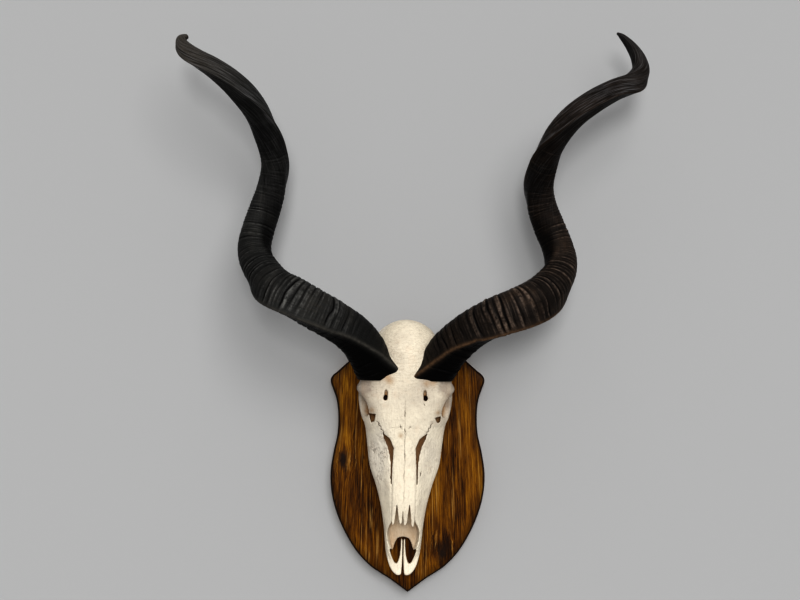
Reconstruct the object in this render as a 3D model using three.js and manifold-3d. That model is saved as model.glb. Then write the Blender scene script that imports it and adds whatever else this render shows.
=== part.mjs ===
// A kudu trophy: a bleached skull with two spiral horns, screwed to a wooden wall shield.
//
// Millimetres, +X right, +Z up, and the trophy faces -Y. The origin is the middle of the
// shield's back face, which lies against the wall. Left and right are the viewer's.
//
// The skull and horns form the head. In the head's own frame a point is written as
// x, forward and z, where forward is the distance out from the shield's front face.

import * as THREE from 'three';
import { LoftGeometry } from 'three/addons/geometries/LoftGeometry.js';
import { mergeVertices } from 'three/addons/utils/BufferGeometryUtils.js';
import Module from 'manifold-3d';

const wasm = await Module();
wasm.setup();

// Driving dimensions -------------------------------------------------------------------

const SHIELD = { thickness: 22, bevel: 2.5, backChamfer: 1 };
const HEAD = { x: -3.5, z: 123, lean: THREE.MathUtils.degToRad(0.9) };
const CLEARANCE = 0.4;

const ORBIT = { x: 76, forward: 77, z: -13, reach: 36, height: 23, radius: 25.5 };
const BRAINCASE = { forward: 62, z: 58, halfWidth: 54, halfDepth: 58, halfHeight: 57 };
const NASAL = { halfWidth: 18, root: -84, notch: -177, tip: -202, thickness: 5 };
const TOOTH = { count: 6, first: -142, last: -40, halfWidth: 7, top: 22 };

const HORN = {
	sides: 12,
	axisLean: THREE.MathUtils.degToRad(30),
	keel: { height: 0.16, width: 0.24 },
	hollow: { depth: 0.08, width: 0.4, angle: 0.75 },
	backKeel: { height: 0.06, width: 0.3, angle: 2.88 },
	ringSpacing: 16,
	ringHeight: 0.9,
	ringedLength: 390,
	smoothStep: 19,
	flap: { drop: 7, flare: 9, length: 34, width: 0.42 },
	rim: 22.5,
};

const HANGER = {
	halfWidth: 12,
	halfHeight: 30,
	corner: 5,
	thickness: 2,
	sunk: 0.3,
	z: 118,
	pocketDepth: 9,
};
const KEYHOLE = { drop: 7, radius: 5, slotHalfWidth: 2.4, slotRise: 16 };
const PLATE_SCREW = { shank: 1.5, head: 3.2, headHeight: 1.7, length: 14, offset: 24 };
const SKULL_SCREW = { shank: 2, head: 4.4, headHeight: 2.8, sunk: 0.5 };

const bone = new THREE.MeshStandardMaterial( { color: 0xe9e0c8, roughness: 0.65 } );
const darkHorn = new THREE.MeshStandardMaterial( { color: 0x1d1a17, roughness: 0.5 } );
const brownHorn = new THREE.MeshStandardMaterial( { color: 0x2a1d14, roughness: 0.5 } );
const stainedWood = new THREE.MeshStandardMaterial( { color: 0x5b3713, roughness: 0.4 } );
const steel = new THREE.MeshStandardMaterial( { color: 0xb9bbbd, roughness: 0.35, metalness: 1 } );

// Helpers ------------------------------------------------------------------------------

const at = ( x, forward, z ) => new THREE.Vector3( x, - forward, z );

const flat = ( x, z ) => new THREE.Vector2( x, z );

// A smooth hump of height 1 at the centre, on a scale of the given width
const hump = ( value, centre, width ) => Math.exp( - ( ( ( value - centre ) / width ) ** 2 ) );

function toSolid( geometry ) {

	const bare = new THREE.BufferGeometry();
	bare.setAttribute( 'position', geometry.attributes.position );
	bare.setIndex( geometry.index );
	const merged = mergeVertices( bare, 1e-4 );
	return new wasm.Manifold( new wasm.Mesh( {
		numProp: 3,
		vertProperties: new Float32Array( merged.attributes.position.array ),
		triVerts: new Uint32Array( merged.index.array ),
	} ) );

}

function toMesh( name, solid, material ) {

	const { vertProperties, triVerts } = solid.getMesh();
	const geometry = new THREE.BufferGeometry();
	geometry.setAttribute( 'position', new THREE.BufferAttribute( vertProperties, 3 ) );
	geometry.setIndex( new THREE.BufferAttribute( triVerts, 1 ) );
	geometry.computeVertexNormals();
	const mesh = new THREE.Mesh( geometry, material );
	mesh.name = name;
	return mesh;

}

const loft = ( sections ) => toSolid( new LoftGeometry( sections, { capStart: true, capEnd: true } ) );

function ellipsoid( centre, radii, columns = 20, rows = 12 ) {

	const geometry = new THREE.SphereGeometry( 1, columns, rows );
	geometry.rotateX( Math.PI / 2 );
	geometry.scale( radii[ 0 ], radii[ 1 ], radii[ 2 ] );
	geometry.translate( centre.x, centre.y, centre.z );
	return toSolid( geometry );

}

// A cylinder along Y between two distances forward
function pin( radius, x, z, back, front, sides = 8 ) {

	const geometry = new THREE.CylinderGeometry( radius, radius, front - back, sides );
	geometry.translate( x, - ( front + back ) / 2, z );
	return toSolid( geometry );

}

// A flat plate: an outline in x and z, given thickness between two distances forward
function plate( outline, back, front ) {

	const shape = new THREE.Shape( outline );
	const geometry = new THREE.ExtrudeGeometry( shape, { depth: front - back, bevelEnabled: false } );
	geometry.rotateX( Math.PI / 2 );
	geometry.translate( 0, - back, 0 );
	return toSolid( geometry );

}

// A tapering round limb through stations of [ x, forward, z, radius ]
function limb( stations, { sides = 8, stepsEach = 2 } = {} ) {

	const path = new THREE.CatmullRomCurve3( stations.map( ( [ x, f, z ] ) => at( x, f, z ) ) );
	const radii = stations.map( ( station ) => station[ 3 ] );
	const rows = ( stations.length - 1 ) * stepsEach;
	const spread = path.getPoint( 1 ).sub( path.getPoint( 0 ) );
	const least = Math.min( Math.abs( spread.x ), Math.abs( spread.y ), Math.abs( spread.z ) );
	const reference = new THREE.Vector3(
		Math.abs( spread.x ) === least ? 1 : 0,
		Math.abs( spread.y ) === least ? 1 : 0,
		Math.abs( spread.z ) === least ? 1 : 0,
	);
	const sections = [];
	for ( let row = 0; row <= rows; row ++ ) {

		const t = row / rows;
		const point = path.getPoint( t );
		const tangent = path.getTangent( t );
		const normal = reference.clone().addScaledVector( tangent, - reference.dot( tangent ) ).normalize();
		const binormal = new THREE.Vector3().crossVectors( tangent, normal );
		const station = Math.min( Math.floor( t * ( radii.length - 1 ) ), radii.length - 2 );
		const radius = THREE.MathUtils.lerp(
			radii[ station ], radii[ station + 1 ], t * ( radii.length - 1 ) - station );
		sections.push( Array.from( { length: sides }, ( _, side ) => {

			const angle = side / sides * Math.PI * 2;
			return point.clone()
				.addScaledVector( normal, Math.cos( angle ) * radius )
				.addScaledVector( binormal, Math.sin( angle ) * radius );

		} ) );

	}

	return loft( sections );

}

// The corners of a rectangle that stands on the middle line
function rectangle( halfWidth, bottom, top ) {

	return [
		flat( - halfWidth, bottom ), flat( halfWidth, bottom ), flat( halfWidth, top ), flat( - halfWidth, top ),
	];

}

const mirrored = ( solid ) => solid.mirror( [ 1, 0, 0 ] );

const bothSides = ( solid ) => solid.add( mirrored( solid ) );

const union = ( solids ) => solids.reduce( ( whole, next ) => whole.add( next ) );

// Shield -------------------------------------------------------------------------------

// Half of the outline from the crown to the pointed foot: ears at the top corners,
// a waist under them, and full hips that run down to the point
function shieldOutline() {

	const top = new THREE.QuadraticBezierCurve( flat( 0, 203 ), flat( 40, 202 ), flat( 70, 193 ) );
	const brow = new THREE.LineCurve( flat( 70, 193 ), flat( 112, 155 ) );
	const ear = new THREE.CubicBezierCurve(
		flat( 112, 155 ), flat( 124, 147 ), flat( 124, 141 ), flat( 119, 130 ) );
	const side = new THREE.SplineCurve( [
		flat( 119, 130 ), flat( 112.5, 110 ), flat( 110, 84 ), flat( 111.5, 56 ), flat( 118, 26 ),
		flat( 122.5, - 8 ), flat( 119.5, - 44 ), flat( 107, - 84 ), flat( 83.5, - 127 ), flat( 60, - 153 ),
		flat( 40, - 167 ),
	] );
	const foot = new THREE.CubicBezierCurve(
		flat( 40, - 167 ), flat( 28, - 173 ), flat( 12, - 183 ), flat( 0, - 195 ) );
	const half = [
		...top.getPoints( 3 ), ...brow.getPoints( 1 ).slice( 1 ), ...ear.getPoints( 4 ).slice( 1 ),
		...side.getPoints( 14 ).slice( 1 ), ...foot.getPoints( 4 ).slice( 1 ),
	];
	const other = half.slice( 1, - 1 ).reverse().map( ( { x, y } ) => flat( - x, y ) );
	return [ ...half, ...other ].reverse();

}

// The outline drawn in by a distance, along the mean normal at each point
function inset( outline, distance ) {

	return outline.map( ( point, index ) => {

		const before = outline.at( index - 1 );
		const after = outline[ ( index + 1 ) % outline.length ];
		const along = after.clone().sub( before ).normalize();
		return flat( point.x - along.y * distance, point.y + along.x * distance );

	} );

}

function shieldBoard() {

	const outline = shieldOutline();
	const layers = [
		[ 0, SHIELD.backChamfer ],
		[ SHIELD.backChamfer, 0 ],
		[ SHIELD.thickness - SHIELD.bevel, 0 ],
		[ SHIELD.thickness, SHIELD.bevel ],
	];
	return loft( layers.map( ( [ forward, drawnIn ] ) =>
		inset( outline, drawnIn ).map( ( point ) => new THREE.Vector3( point.x, - forward, point.y ) ) ) );

}

// Skull --------------------------------------------------------------------------------

// A level section through the face, by points [ x, forward ] of its right half: the ridge
// at the edge of the front, the brow, the widest part of the side, and the foot
function faceSection( { z, front, ridge, brow, side, foot, back }, grow ) {

	const half = [
		[ ridge[ 0 ], ridge[ 1 ] + grow ],
		[ brow[ 0 ] + grow, brow[ 1 ] + grow ],
		[ side[ 0 ] + grow, side[ 1 ] ],
		[ foot[ 0 ] + grow, foot[ 1 ] ],
	];
	const points = [
		at( 0, front + grow, z ),
		...half.map( ( [ x, forward ] ) => at( x, forward, z ) ),
		at( 0, back, z ),
		...half.reverse().map( ( [ x, forward ] ) => at( - x, forward, z ) ),
	];
	const curve = new THREE.CatmullRomCurve3( points, true, 'centripetal' );
	return curve.getPoints( points.length * 2 ).slice( 0, - 1 );

}

// Sections of the face and forehead from the muzzle up to behind the horns
const FACE = [
	{ z: - 272, front: 19, ridge: [ 8, 19 ], brow: [ 15, 18.5 ], side: [ 19, 16 ], foot: [ 15, 12 ], back: 12 },
	{ z: - 246, front: 34, ridge: [ 13, 34 ], brow: [ 22, 31 ], side: [ 27, 21 ], foot: [ 22, 12 ], back: 12 },
	{ z: - 208, front: 60, ridge: [ 14, 59 ], brow: [ 24, 52 ], side: [ 31, 33 ], foot: [ 27, 12 ], back: 12 },
	{ z: - 175, front: 75, ridge: [ 18, 72 ], brow: [ 27, 60 ], side: [ 36, 40 ], foot: [ 31, 13 ], back: 13 },
	{ z: - 145, front: 83, ridge: [ 19, 79 ], brow: [ 30, 67 ], side: [ 43.5, 44 ], foot: [ 36, 14 ], back: 14 },
	{ z: - 114, front: 90, ridge: [ 20, 86 ], brow: [ 36, 72 ], side: [ 54, 46 ], foot: [ 41, 17 ], back: 16 },
	{ z: - 80, front: 98, ridge: [ 23, 93 ], brow: [ 44, 77 ], side: [ 58.5, 52 ], foot: [ 42, 18 ], back: 18 },
	{ z: - 52, front: 106, ridge: [ 32, 101 ], brow: [ 52, 83 ], side: [ 62, 55 ], foot: [ 40, 20 ], back: 20 },
	{ z: - 28, front: 112, ridge: [ 40, 108 ], brow: [ 57, 93 ], side: [ 68, 56 ], foot: [ 36, 26 ], back: 22 },
	{ z: - 6, front: 116, ridge: [ 48, 111 ], brow: [ 68, 98 ], side: [ 70.5, 60 ], foot: [ 34, 30 ], back: 24 },
	{ z: 8, front: 118, ridge: [ 52, 111 ], brow: [ 73.5, 98 ], side: [ 71, 62 ], foot: [ 34, 34 ], back: 24 },
	{ z: 22, front: 119, ridge: [ 48, 112 ], brow: [ 67, 99 ], side: [ 66, 66 ], foot: [ 34, 35 ], back: 24 },
	{ z: 42, front: 117, ridge: [ 40, 112 ], brow: [ 60, 101 ], side: [ 61, 82 ], foot: [ 36, 40 ], back: 22 },
	{ z: 72, front: 100, ridge: [ 20, 96 ], brow: [ 32, 84 ], side: [ 38, 64 ], foot: [ 26, 32 ], back: 24 },
];

const faceBlock = ( grow = 0 ) => loft( FACE.map( ( section ) => faceSection( section, grow ) ) );

function braincase( grow = 0 ) {

	const { forward, z, halfWidth, halfDepth, halfHeight } = BRAINCASE;
	return ellipsoid( at( 0, forward, z ), [ halfWidth + grow, halfDepth + grow, halfHeight + grow ], 16, 10 );

}

// The bony cores that the horn sheaths sit on
const hornCore = ( side, grow = 0 ) => limb( [
	[ side * 36, 80, 16, 25 + grow ],
	[ side * 48, 94, 38, 25 + grow ],
	[ side * 59, 112, 64, 19 + grow ],
], { sides: 12 } );

// The rounded lip round each eye socket, raised a little from the bone about it
function orbitRims() {

	return bothSides( limb( [
		[ 53, 78, - 42, 4 ], [ 62, 61, - 38, 4.5 ], [ 67.5, 52, - 16, 4.5 ],
		[ 68.5, 55, 8, 4.5 ], [ 68, 72, 15, 4.5 ], [ 64, 90, 12, 4 ],
	], { sides: 5 } ) );

}

// Cheek bones: from under the eye back to the ear
const cheekBones = () => bothSides( limb( [
	[ 60, 50, - 40, 6 ], [ 65, 50, - 14, 6 ], [ 65, 47, 12, 5.5 ], [ 59, 43, 36, 5.5 ], [ 46, 42, 56, 7 ],
], { sides: 6 } ) );

// The hollow behind each eye, between the braincase and the cheek bone
const templeHollows = () => bothSides( ellipsoid( at( 70, 54, 36 ), [ 22, 24, 15 ], 10, 5 ) );

const orbits = () => bothSides( ellipsoid(
	at( ORBIT.x, ORBIT.forward, ORBIT.z ), [ ORBIT.reach, ORBIT.height, ORBIT.radius ], 12, 8 ) );

// The air passage: open between the nasal bones and the muzzle, roofed further up
function noseCavity() {

	const sections = [
		{ z: - 292, front: 90, half: 12, floor: 26 },
		{ z: - 270, front: 90, half: 14, floor: 20.5 },
		{ z: - 248, front: 92, half: 19, floor: 18 },
		{ z: - 232, front: 95, half: 23.5, floor: 17 },
		{ z: - 206, front: 95, half: 24.5, floor: 18 },
		{ z: - 190, front: 71, half: 24, floor: 21 },
		{ z: - 150, front: 78, half: 19, floor: 24 },
		{ z: - 96, front: 86, half: 16, floor: 30 },
	];
	return loft( sections.map( ( { z, front, half, floor } ) => {

		const points = [ at( 0, front, z ), at( half * 0.8, front - 4, z ), at( half, ( front + floor ) / 2, z ),
			at( half * 0.8, floor + 3, z ), at( 0, floor, z ) ];
		const other = points.slice( 1, - 1 ).reverse().map( ( { x, y } ) => new THREE.Vector3( - x, y, z ) );
		return [ ...points, ...other ];

	} ) );

}

// Nasal bones: a thin arched roof that ends in four prongs over the nose opening
function nasalRoof() {

	const stations = [
		[ NASAL.root, 97.4 ], [ - 114, 90.5 ], [ - 145, 83.5 ], [ NASAL.notch, 76 ], [ NASAL.tip, 69 ],
	];
	const sheet = loft( stations.map( ( [ z, front ] ) => {

		const half = NASAL.halfWidth;
		const edge = front - 4;
		const upper = [ at( 0, front, z ), at( half * 0.55, front - 1.2, z ), at( half, edge, z ) ];
		const lower = [ at( half, edge - NASAL.thickness, z ), at( 0, front - NASAL.thickness, z ) ];
		const right = [ ...upper, ...lower ];
		const left = right.slice( 1, - 1 ).reverse().map( ( { x, y } ) => new THREE.Vector3( - x, y, z ) );
		return [ ...right, ...left ];

	} ).reverse() );
	const wedge = ( from, to, peak, top ) => plate( [
		flat( from, NASAL.tip - 1 ), flat( to, NASAL.tip - 1 ), flat( peak, top ),
	], 40, 100 );
	const { notch, halfWidth } = NASAL;
	const midNotch = wedge( - 2.3, 0.3, - 1, notch );
	const sideNotch = wedge( 6.7, 13.5, 10.1, notch );
	const shoulder = wedge( halfWidth - 2.2, halfWidth + 1, halfWidth + 1, notch + 4 );
	return sheet.subtract( union( [ midNotch, bothSides( sideNotch ), bothSides( shoulder ) ] ) );

}

// Premaxillae: the flat muzzle, rounded at its tip
function muzzle() {

	const side = new THREE.SplineCurve( [
		flat( 28, - 205 ), flat( 28.5, - 226 ), flat( 27.6, - 246 ), flat( 22.5, - 270 ),
		flat( 16, - 282.5 ), flat( 7, - 288.3 ), flat( 0, - 287 ),
	] );
	const right = side.getPoints( 9 );
	const left = right.slice( 0, - 1 ).reverse().map( ( { x, y } ) => flat( - x, y ) );
	return plate( [ ...right, ...left ], 11, 20 );

}

// The two long openings in the muzzle, and the cleft between its two halves
function muzzleOpenings() {

	const fissure = plate( [
		flat( 2.6, - 229 ), flat( 3.6, - 243 ), flat( 5.4, - 259 ), flat( 8.4, - 268 ), flat( 10.6, - 270 ),
		flat( 12.6, - 266 ), flat( 17.4, - 250 ), flat( 14.5, - 239 ), flat( 9, - 230 ),
	], 0, 60 );
	const cleft = plate( [
		flat( 0.5, - 262 ), flat( 2.8, - 292 ), flat( - 2.8, - 292 ), flat( - 0.5, - 262 ),
	], 0, 60 );
	return bothSides( fissure ).add( cleft );

}

// The long gaps beside the nasal bones, wide at the top and a hairline further down
function noseSlits() {

	return bothSides( plate( [
		flat( 31, - 60 ), flat( 23, - 67 ), flat( 17.6, - 82 ), flat( 18.2, - 100 ),
		flat( 19, - 137 ), flat( 20.2, - 137 ), flat( 20.6, - 104 ), flat( 24.5, - 85 ),
	], 40, 130 ) );

}

const browHoles = () => bothSides( ellipsoid( at( 31, 116, - 7 ), [ 3.2, 14, 6.5 ], 8, 4 ) );

const tearHoles = () => bothSides( plate( [
	flat( 47, - 30 ), flat( 51, - 39 ), flat( 55, - 30 ),
], 70, 120 ) );

// Cheek teeth: one row a side, each tooth with two rounded lobes, larger towards the back
function toothRows() {

	const { count, first, last, halfWidth, top } = TOOTH;
	const pitch = ( last - first ) / ( count - 1 );
	const cheek = [];
	const tongue = [];
	for ( let index = 0; index < count; index ++ ) {

		const share = index / ( count - 1 );
		const z = first + pitch * index;
		const x = THREE.MathUtils.lerp( 29, 37, Math.sin( share * Math.PI / 2 ) );
		const across = halfWidth * THREE.MathUtils.lerp( 0.72, 1, share );
		cheek.push( flat( x + across * 0.6, z - pitch / 2 ) );
		cheek.push( flat( x + across, z - pitch / 4 ) );
		cheek.push( flat( x + across * 0.8, z ) );
		cheek.push( flat( x + across, z + pitch / 4 ) );
		tongue.push( flat( x - across * 0.7, z ) );

	}

	return bothSides( plate( [ ...cheek, ...tongue.reverse() ], CLEARANCE, top ) );

}

// The back and underside of the skull: crest, condyles, ear bullae and the spine's hole
function occiput() {

	const crest = limb( [
		[ - 46, 38, 74, 5 ], [ - 34, 54, 95, 6 ], [ 0, 63, 106, 7 ], [ 34, 54, 95, 6 ], [ 46, 38, 74, 5 ],
	], { sides: 5 } );
	const condyles = bothSides( ellipsoid( at( 15, 22, 100 ), [ 10, 13, 10 ], 8, 6 ) );
	const neckBlock = ellipsoid( at( 0, 32, 82 ), [ 36, 26, 22 ], 10, 6 );
	const earSpikes = bothSides( limb( [
		[ 40, 40, 72, 7 ], [ 38, 20, 82, 5 ], [ 36, 3, 86, 2.5 ],
	], { sides: 5, stepsEach: 1 } ) );
	const bullae = bothSides( ellipsoid( at( 25, 18, 58 ), [ 10, 13, 16 ], 8, 4 ) );
	const floor = limb( [
		[ 0, 22, 98, 13 ], [ 0, 22, 60, 13 ], [ 0, 26, 10, 11 ], [ 0, 24, - 30, 12 ],
	], { stepsEach: 1 } );
	return union( [ crest, condyles, neckBlock, earSpikes, bullae, floor ] );

}

const spineHole = () => limb( [
	[ 0, 38, 130, 11 ], [ 0, 38, 104, 11 ], [ 0, 40, 78, 9 ],
], { sides: 10, stepsEach: 1 } );

const cranium = ( grow = 0 ) => union( [ faceBlock( grow ), braincase( grow ) ] );

// Screws that come through the shield and end in the palate and in the skull's floor
const SKULL_SCREWS = [
	{ name: 'skull_screw_upper', x: 0, z: 40, end: 34 },
	{ name: 'skull_screw_lower', x: 0, z: - 110, end: 27 },
];

function skull() {

	const carved = cranium()
		.subtract( templeHollows() )
		.add( occiput() )
		.subtract( orbits() )
		.subtract( noseCavity() );
	const built = union( [
		carved, orbitRims(), cheekBones(), nasalRoof(), muzzle(), toothRows(), hornCore( 1 ), hornCore( - 1 ),
	] );
	const screwRoom = SKULL_SCREWS.map( ( { x, z, end } ) =>
		pin( SKULL_SCREW.shank + CLEARANCE, x, z, - 5, end + 1 ) );
	const holes = [ muzzleOpenings(), noseSlits(), browHoles(), tearHoles(), spineHole(), ...screwRoom ];
	return built.subtract( union( holes ) );

}

// Horns --------------------------------------------------------------------------------

// Stations of [ x, forward, z, radius, keel ] from base to tip, with x measured outwards.
// keel is the bearing of the front keel about the horn's axis in degrees: 0 points out,
// 90 to the wall, 180 inwards and 270 to the viewer. It turns with the spiral.
const RIGHT_HORN = [
	[ 45, 93, 36, 30, - 143 ], [ 61, 114, 66, 30.5, - 125 ], [ 84, 138, 91, 29.5, - 105 ],
	[ 107, 155, 109, 29, - 80 ], [ 138, 167, 125, 29.5, - 45 ], [ 178, 165, 142, 30, - 15 ],
	[ 209, 146, 161, 28.5, 15 ], [ 228, 121, 185, 25.5, 45 ], [ 233, 101, 208, 25, 70 ],
	[ 228, 87, 234, 24.5, 98 ], [ 216, 79, 264, 24.5, 120 ], [ 205, 77, 295, 23.5, 140 ],
	[ 200, 83, 322, 22, 165 ], [ 203, 99, 350, 20, 195 ], [ 211, 121, 378, 19, 228 ],
	[ 226, 144, 404, 18.5, 262 ], [ 247, 157, 427, 18, 295 ], [ 276, 155, 449, 17.5, 330 ],
	[ 309, 142, 469, 16.5, 368 ], [ 334, 126, 484, 15.5, 405 ], [ 346, 108, 503, 14, 440 ],
	[ 345, 97, 523, 11.5, 460 ], [ 336, 90, 542, 8, 485 ], [ 324, 89, 557, 4.5, 505 ],
	[ 317, 90, 562, 1.6, 515 ],
];

const LEFT_HORN = [
	[ 46, 93, 36, 30, - 143 ], [ 61, 114, 68, 30, - 125 ], [ 81, 133, 93, 29.5, - 105 ],
	[ 107, 150, 112, 29.5, - 80 ], [ 137, 164, 129, 29.5, - 45 ], [ 168, 166, 146, 30, - 20 ],
	[ 199, 152, 163, 29, 10 ], [ 219, 133, 182, 26.5, 33 ], [ 231, 116, 201, 26, 54 ],
	[ 236, 101, 223, 25.5, 72 ], [ 232, 89, 250, 25, 92 ], [ 223, 81, 282, 24.5, 112 ],
	[ 214, 77, 313, 23, 135 ], [ 209, 79, 347, 21, 160 ], [ 211, 88, 374, 19.5, 185 ],
	[ 220, 105, 403, 19.5, 210 ], [ 233, 124, 429, 19.5, 238 ], [ 251, 145, 451, 19, 266 ],
	[ 273, 157, 472, 17.5, 296 ], [ 298, 157, 490, 15.5, 326 ], [ 323, 148, 506, 14, 352 ],
	[ 340, 137, 519, 12, 372 ], [ 349, 128, 530, 9.5, 388 ], [ 350, 121, 538, 7, 400 ],
	[ 343, 114, 543, 4.2, 412 ],
];

// The horn's cross-section as a share of its radius, by angle from the front keel
function keeledSection( angle ) {

	const { keel, hollow, backKeel } = HORN;
	const turned = Math.atan2( Math.sin( angle ), Math.cos( angle ) );
	const wrapped = ( centre ) => Math.atan2( Math.sin( angle - centre ), Math.cos( angle - centre ) );
	return 1
		+ keel.height * hump( turned, 0, keel.width )
		- hollow.depth * hump( wrapped( hollow.angle ), 0, hollow.width )
		- hollow.depth * 0.5 * hump( wrapped( - hollow.angle ), 0, hollow.width )
		+ backKeel.height * hump( wrapped( backKeel.angle ), 0, backKeel.width );

}

// Distances along a horn at which it takes a section: close together on the ringed part
function sectionPlaces( length ) {

	const places = [];
	for ( let place = 0; place < length - HORN.smoothStep / 2; ) {

		places.push( place );
		place += place < HORN.ringedLength ? HORN.ringSpacing / 2 : HORN.smoothStep;

	}

	return [ ...places, length ];

}

function horn( stations, side ) {

	const path = new THREE.CatmullRomCurve3( stations.map( ( [ x, f, z ] ) => at( side * x, f, z ) ) );
	path.arcLengthDivisions = 400;
	const girth = new THREE.CatmullRomCurve3( stations.map( ( [ , , , radius, keel ] ) =>
		new THREE.Vector3( radius, THREE.MathUtils.degToRad( keel ), 0 ) ) );
	const outward = new THREE.Vector3( side * Math.cos( HORN.axisLean ), 0, - Math.sin( HORN.axisLean ) );
	const toWall = new THREE.Vector3( 0, 1, 0 );
	const flapWay = new THREE.Vector3( - 0.5 * side, 0, - 0.85 );
	const length = path.getLength();
	const sections = sectionPlaces( length ).map( ( place, row ) => {

		const t = path.getUtoTmapping( place / length );
		const point = path.getPoint( t );
		const tangent = path.getTangent( t );
		const { x: radius, y: bearing } = girth.getPoint( t );
		const keel = outward.clone().multiplyScalar( Math.cos( bearing ) )
			.addScaledVector( toWall, Math.sin( bearing ) );
		keel.addScaledVector( tangent, - keel.dot( tangent ) ).normalize();
		const across = new THREE.Vector3().crossVectors( tangent, keel );
		const fade = THREE.MathUtils.clamp( ( HORN.ringedLength - place ) / 120, 0, 1 );
		const flapShare = Math.max( 0, 1 - place / HORN.flap.length ) ** 2;
		const ring = place === 0 ? 0 : HORN.ringHeight * fade * ( row % 2 ? 1 : - 1 );
		return Array.from( { length: HORN.sides }, ( _, column ) => {

			const even = column / HORN.sides * Math.PI * 2;
			const angle = even - 0.5 * Math.sin( even );
			const flap = flapShare * hump( Math.atan2( Math.sin( angle ), Math.cos( angle ) ), 0, HORN.flap.width );
			const reach = radius * keeledSection( side * angle ) + ring + HORN.flap.flare * flap;
			return point.clone()
				.addScaledVector( keel, Math.cos( angle ) * reach )
				.addScaledVector( across, Math.sin( angle ) * reach )
				.addScaledVector( flapWay, HORN.flap.drop * flap );

		} );

	} );
	const belowRim = plate( rectangle( 120, HORN.rim - 60, HORN.rim ), 0, 200 );
	return loft( sections ).subtract( union( [ cranium( CLEARANCE ), hornCore( side, CLEARANCE ), belowRim ] ) );

}

// Hardware -----------------------------------------------------------------------------

// A countersunk screw along Y with its head at the back, from one distance forward to another
function screw( { shank, head, headHeight }, x, z, back, end, grow = 0 ) {

	const cone = new THREE.CylinderGeometry( head + grow, shank + grow, headHeight, 12 );
	cone.translate( x, - back - headHeight / 2, z );
	return toSolid( cone ).add( pin( shank + grow, x, z, back + headHeight / 2, end + grow ) );

}

const plateScrewPlaces = [
	{ name: 'hanger_screw_upper', z: HANGER.z + PLATE_SCREW.offset },
	{ name: 'hanger_screw_lower', z: HANGER.z - PLATE_SCREW.offset },
];

function hangerOutline( grow = 0 ) {

	const across = HANGER.halfWidth + grow;
	const up = HANGER.halfHeight + grow;
	const { corner, z } = HANGER;
	const outline = new THREE.Path();
	outline.absarc( across - corner, z + up - corner, corner, 0, Math.PI / 2 );
	outline.absarc( corner - across, z + up - corner, corner, Math.PI / 2, Math.PI );
	outline.absarc( corner - across, z - up + corner, corner, Math.PI, Math.PI * 1.5 );
	outline.absarc( across - corner, z - up + corner, corner, Math.PI * 1.5, Math.PI * 2 );
	return outline.getPoints( 2 );

}

function hangerPlate() {

	const { z, sunk, thickness } = HANGER;
	const { drop, radius, slotHalfWidth, slotRise } = KEYHOLE;
	const front = sunk + thickness;
	const slotTop = z - drop + slotRise;
	const cuts = union( [
		pin( radius, 0, z - drop, 0, front + 1, 14 ),
		pin( slotHalfWidth, 0, slotTop, 0, front + 1, 10 ),
		plate( rectangle( slotHalfWidth, z - drop, slotTop ), 0, front + 1 ),
		...plateScrewPlaces.map( ( place ) =>
			screw( PLATE_SCREW, 0, place.z, sunk, sunk + PLATE_SCREW.length, CLEARANCE ) ),
	] );
	return plate( hangerOutline(), sunk, front ).subtract( cuts );

}

// What is cut out of the shield's back for the hanger and the nail behind it
function hangerPocket() {

	const { z, sunk, thickness, pocketDepth } = HANGER;
	const room = KEYHOLE.radius + 3;
	const nailPocket = plate( rectangle( room, z - 16, z + 14 ), 0, pocketDepth );
	const pilots = plateScrewPlaces.map( ( place ) =>
		pin( PLATE_SCREW.shank + CLEARANCE, 0, place.z, 0, sunk + PLATE_SCREW.length + 1 ) );
	const platePocket = plate( hangerOutline( CLEARANCE ), - 1, sunk + thickness + CLEARANCE );
	return union( [ platePocket, nailPocket, ...pilots ] );

}

// Assembly -----------------------------------------------------------------------------

const head = new THREE.Group();
head.position.set( HEAD.x, - SHIELD.thickness, HEAD.z );
head.rotation.y = HEAD.lean;
head.updateMatrixWorld();
head.add( toMesh( 'skull', skull(), bone ) );
head.add( toMesh( 'horn_left', horn( LEFT_HORN, - 1 ), darkHorn ) );
head.add( toMesh( 'horn_right', horn( RIGHT_HORN, 1 ), brownHorn ) );

const screwHoles = [];
for ( const { name, x, z, end } of SKULL_SCREWS ) {

	const back = SKULL_SCREW.sunk - SHIELD.thickness;
	head.add( toMesh( name, screw( SKULL_SCREW, x, z, back, end ), steel ) );
	const place = head.localToWorld( at( x, 0, z ) );
	screwHoles.push( screw( SKULL_SCREW, place.x, place.z, SKULL_SCREW.sunk, SHIELD.thickness + 5, CLEARANCE ) );
	screwHoles.push( pin( SKULL_SCREW.head + CLEARANCE, place.x, place.z, - 1, SKULL_SCREW.sunk + 0.1, 12 ) );

}

const group = new THREE.Group();
const shield = shieldBoard().subtract( union( [ hangerPocket(), ...screwHoles ] ) );
group.add( toMesh( 'shield', shield, stainedWood ) );
group.add( head );
group.add( toMesh( 'hanger_plate', hangerPlate(), steel ) );
for ( const { name, z } of plateScrewPlaces ) {

	const back = HANGER.sunk + 0.1;
	group.add( toMesh( name, screw( PLATE_SCREW, 0, z, back, back + PLATE_SCREW.length ), steel ) );

}

export default group;
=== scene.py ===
import math

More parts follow.
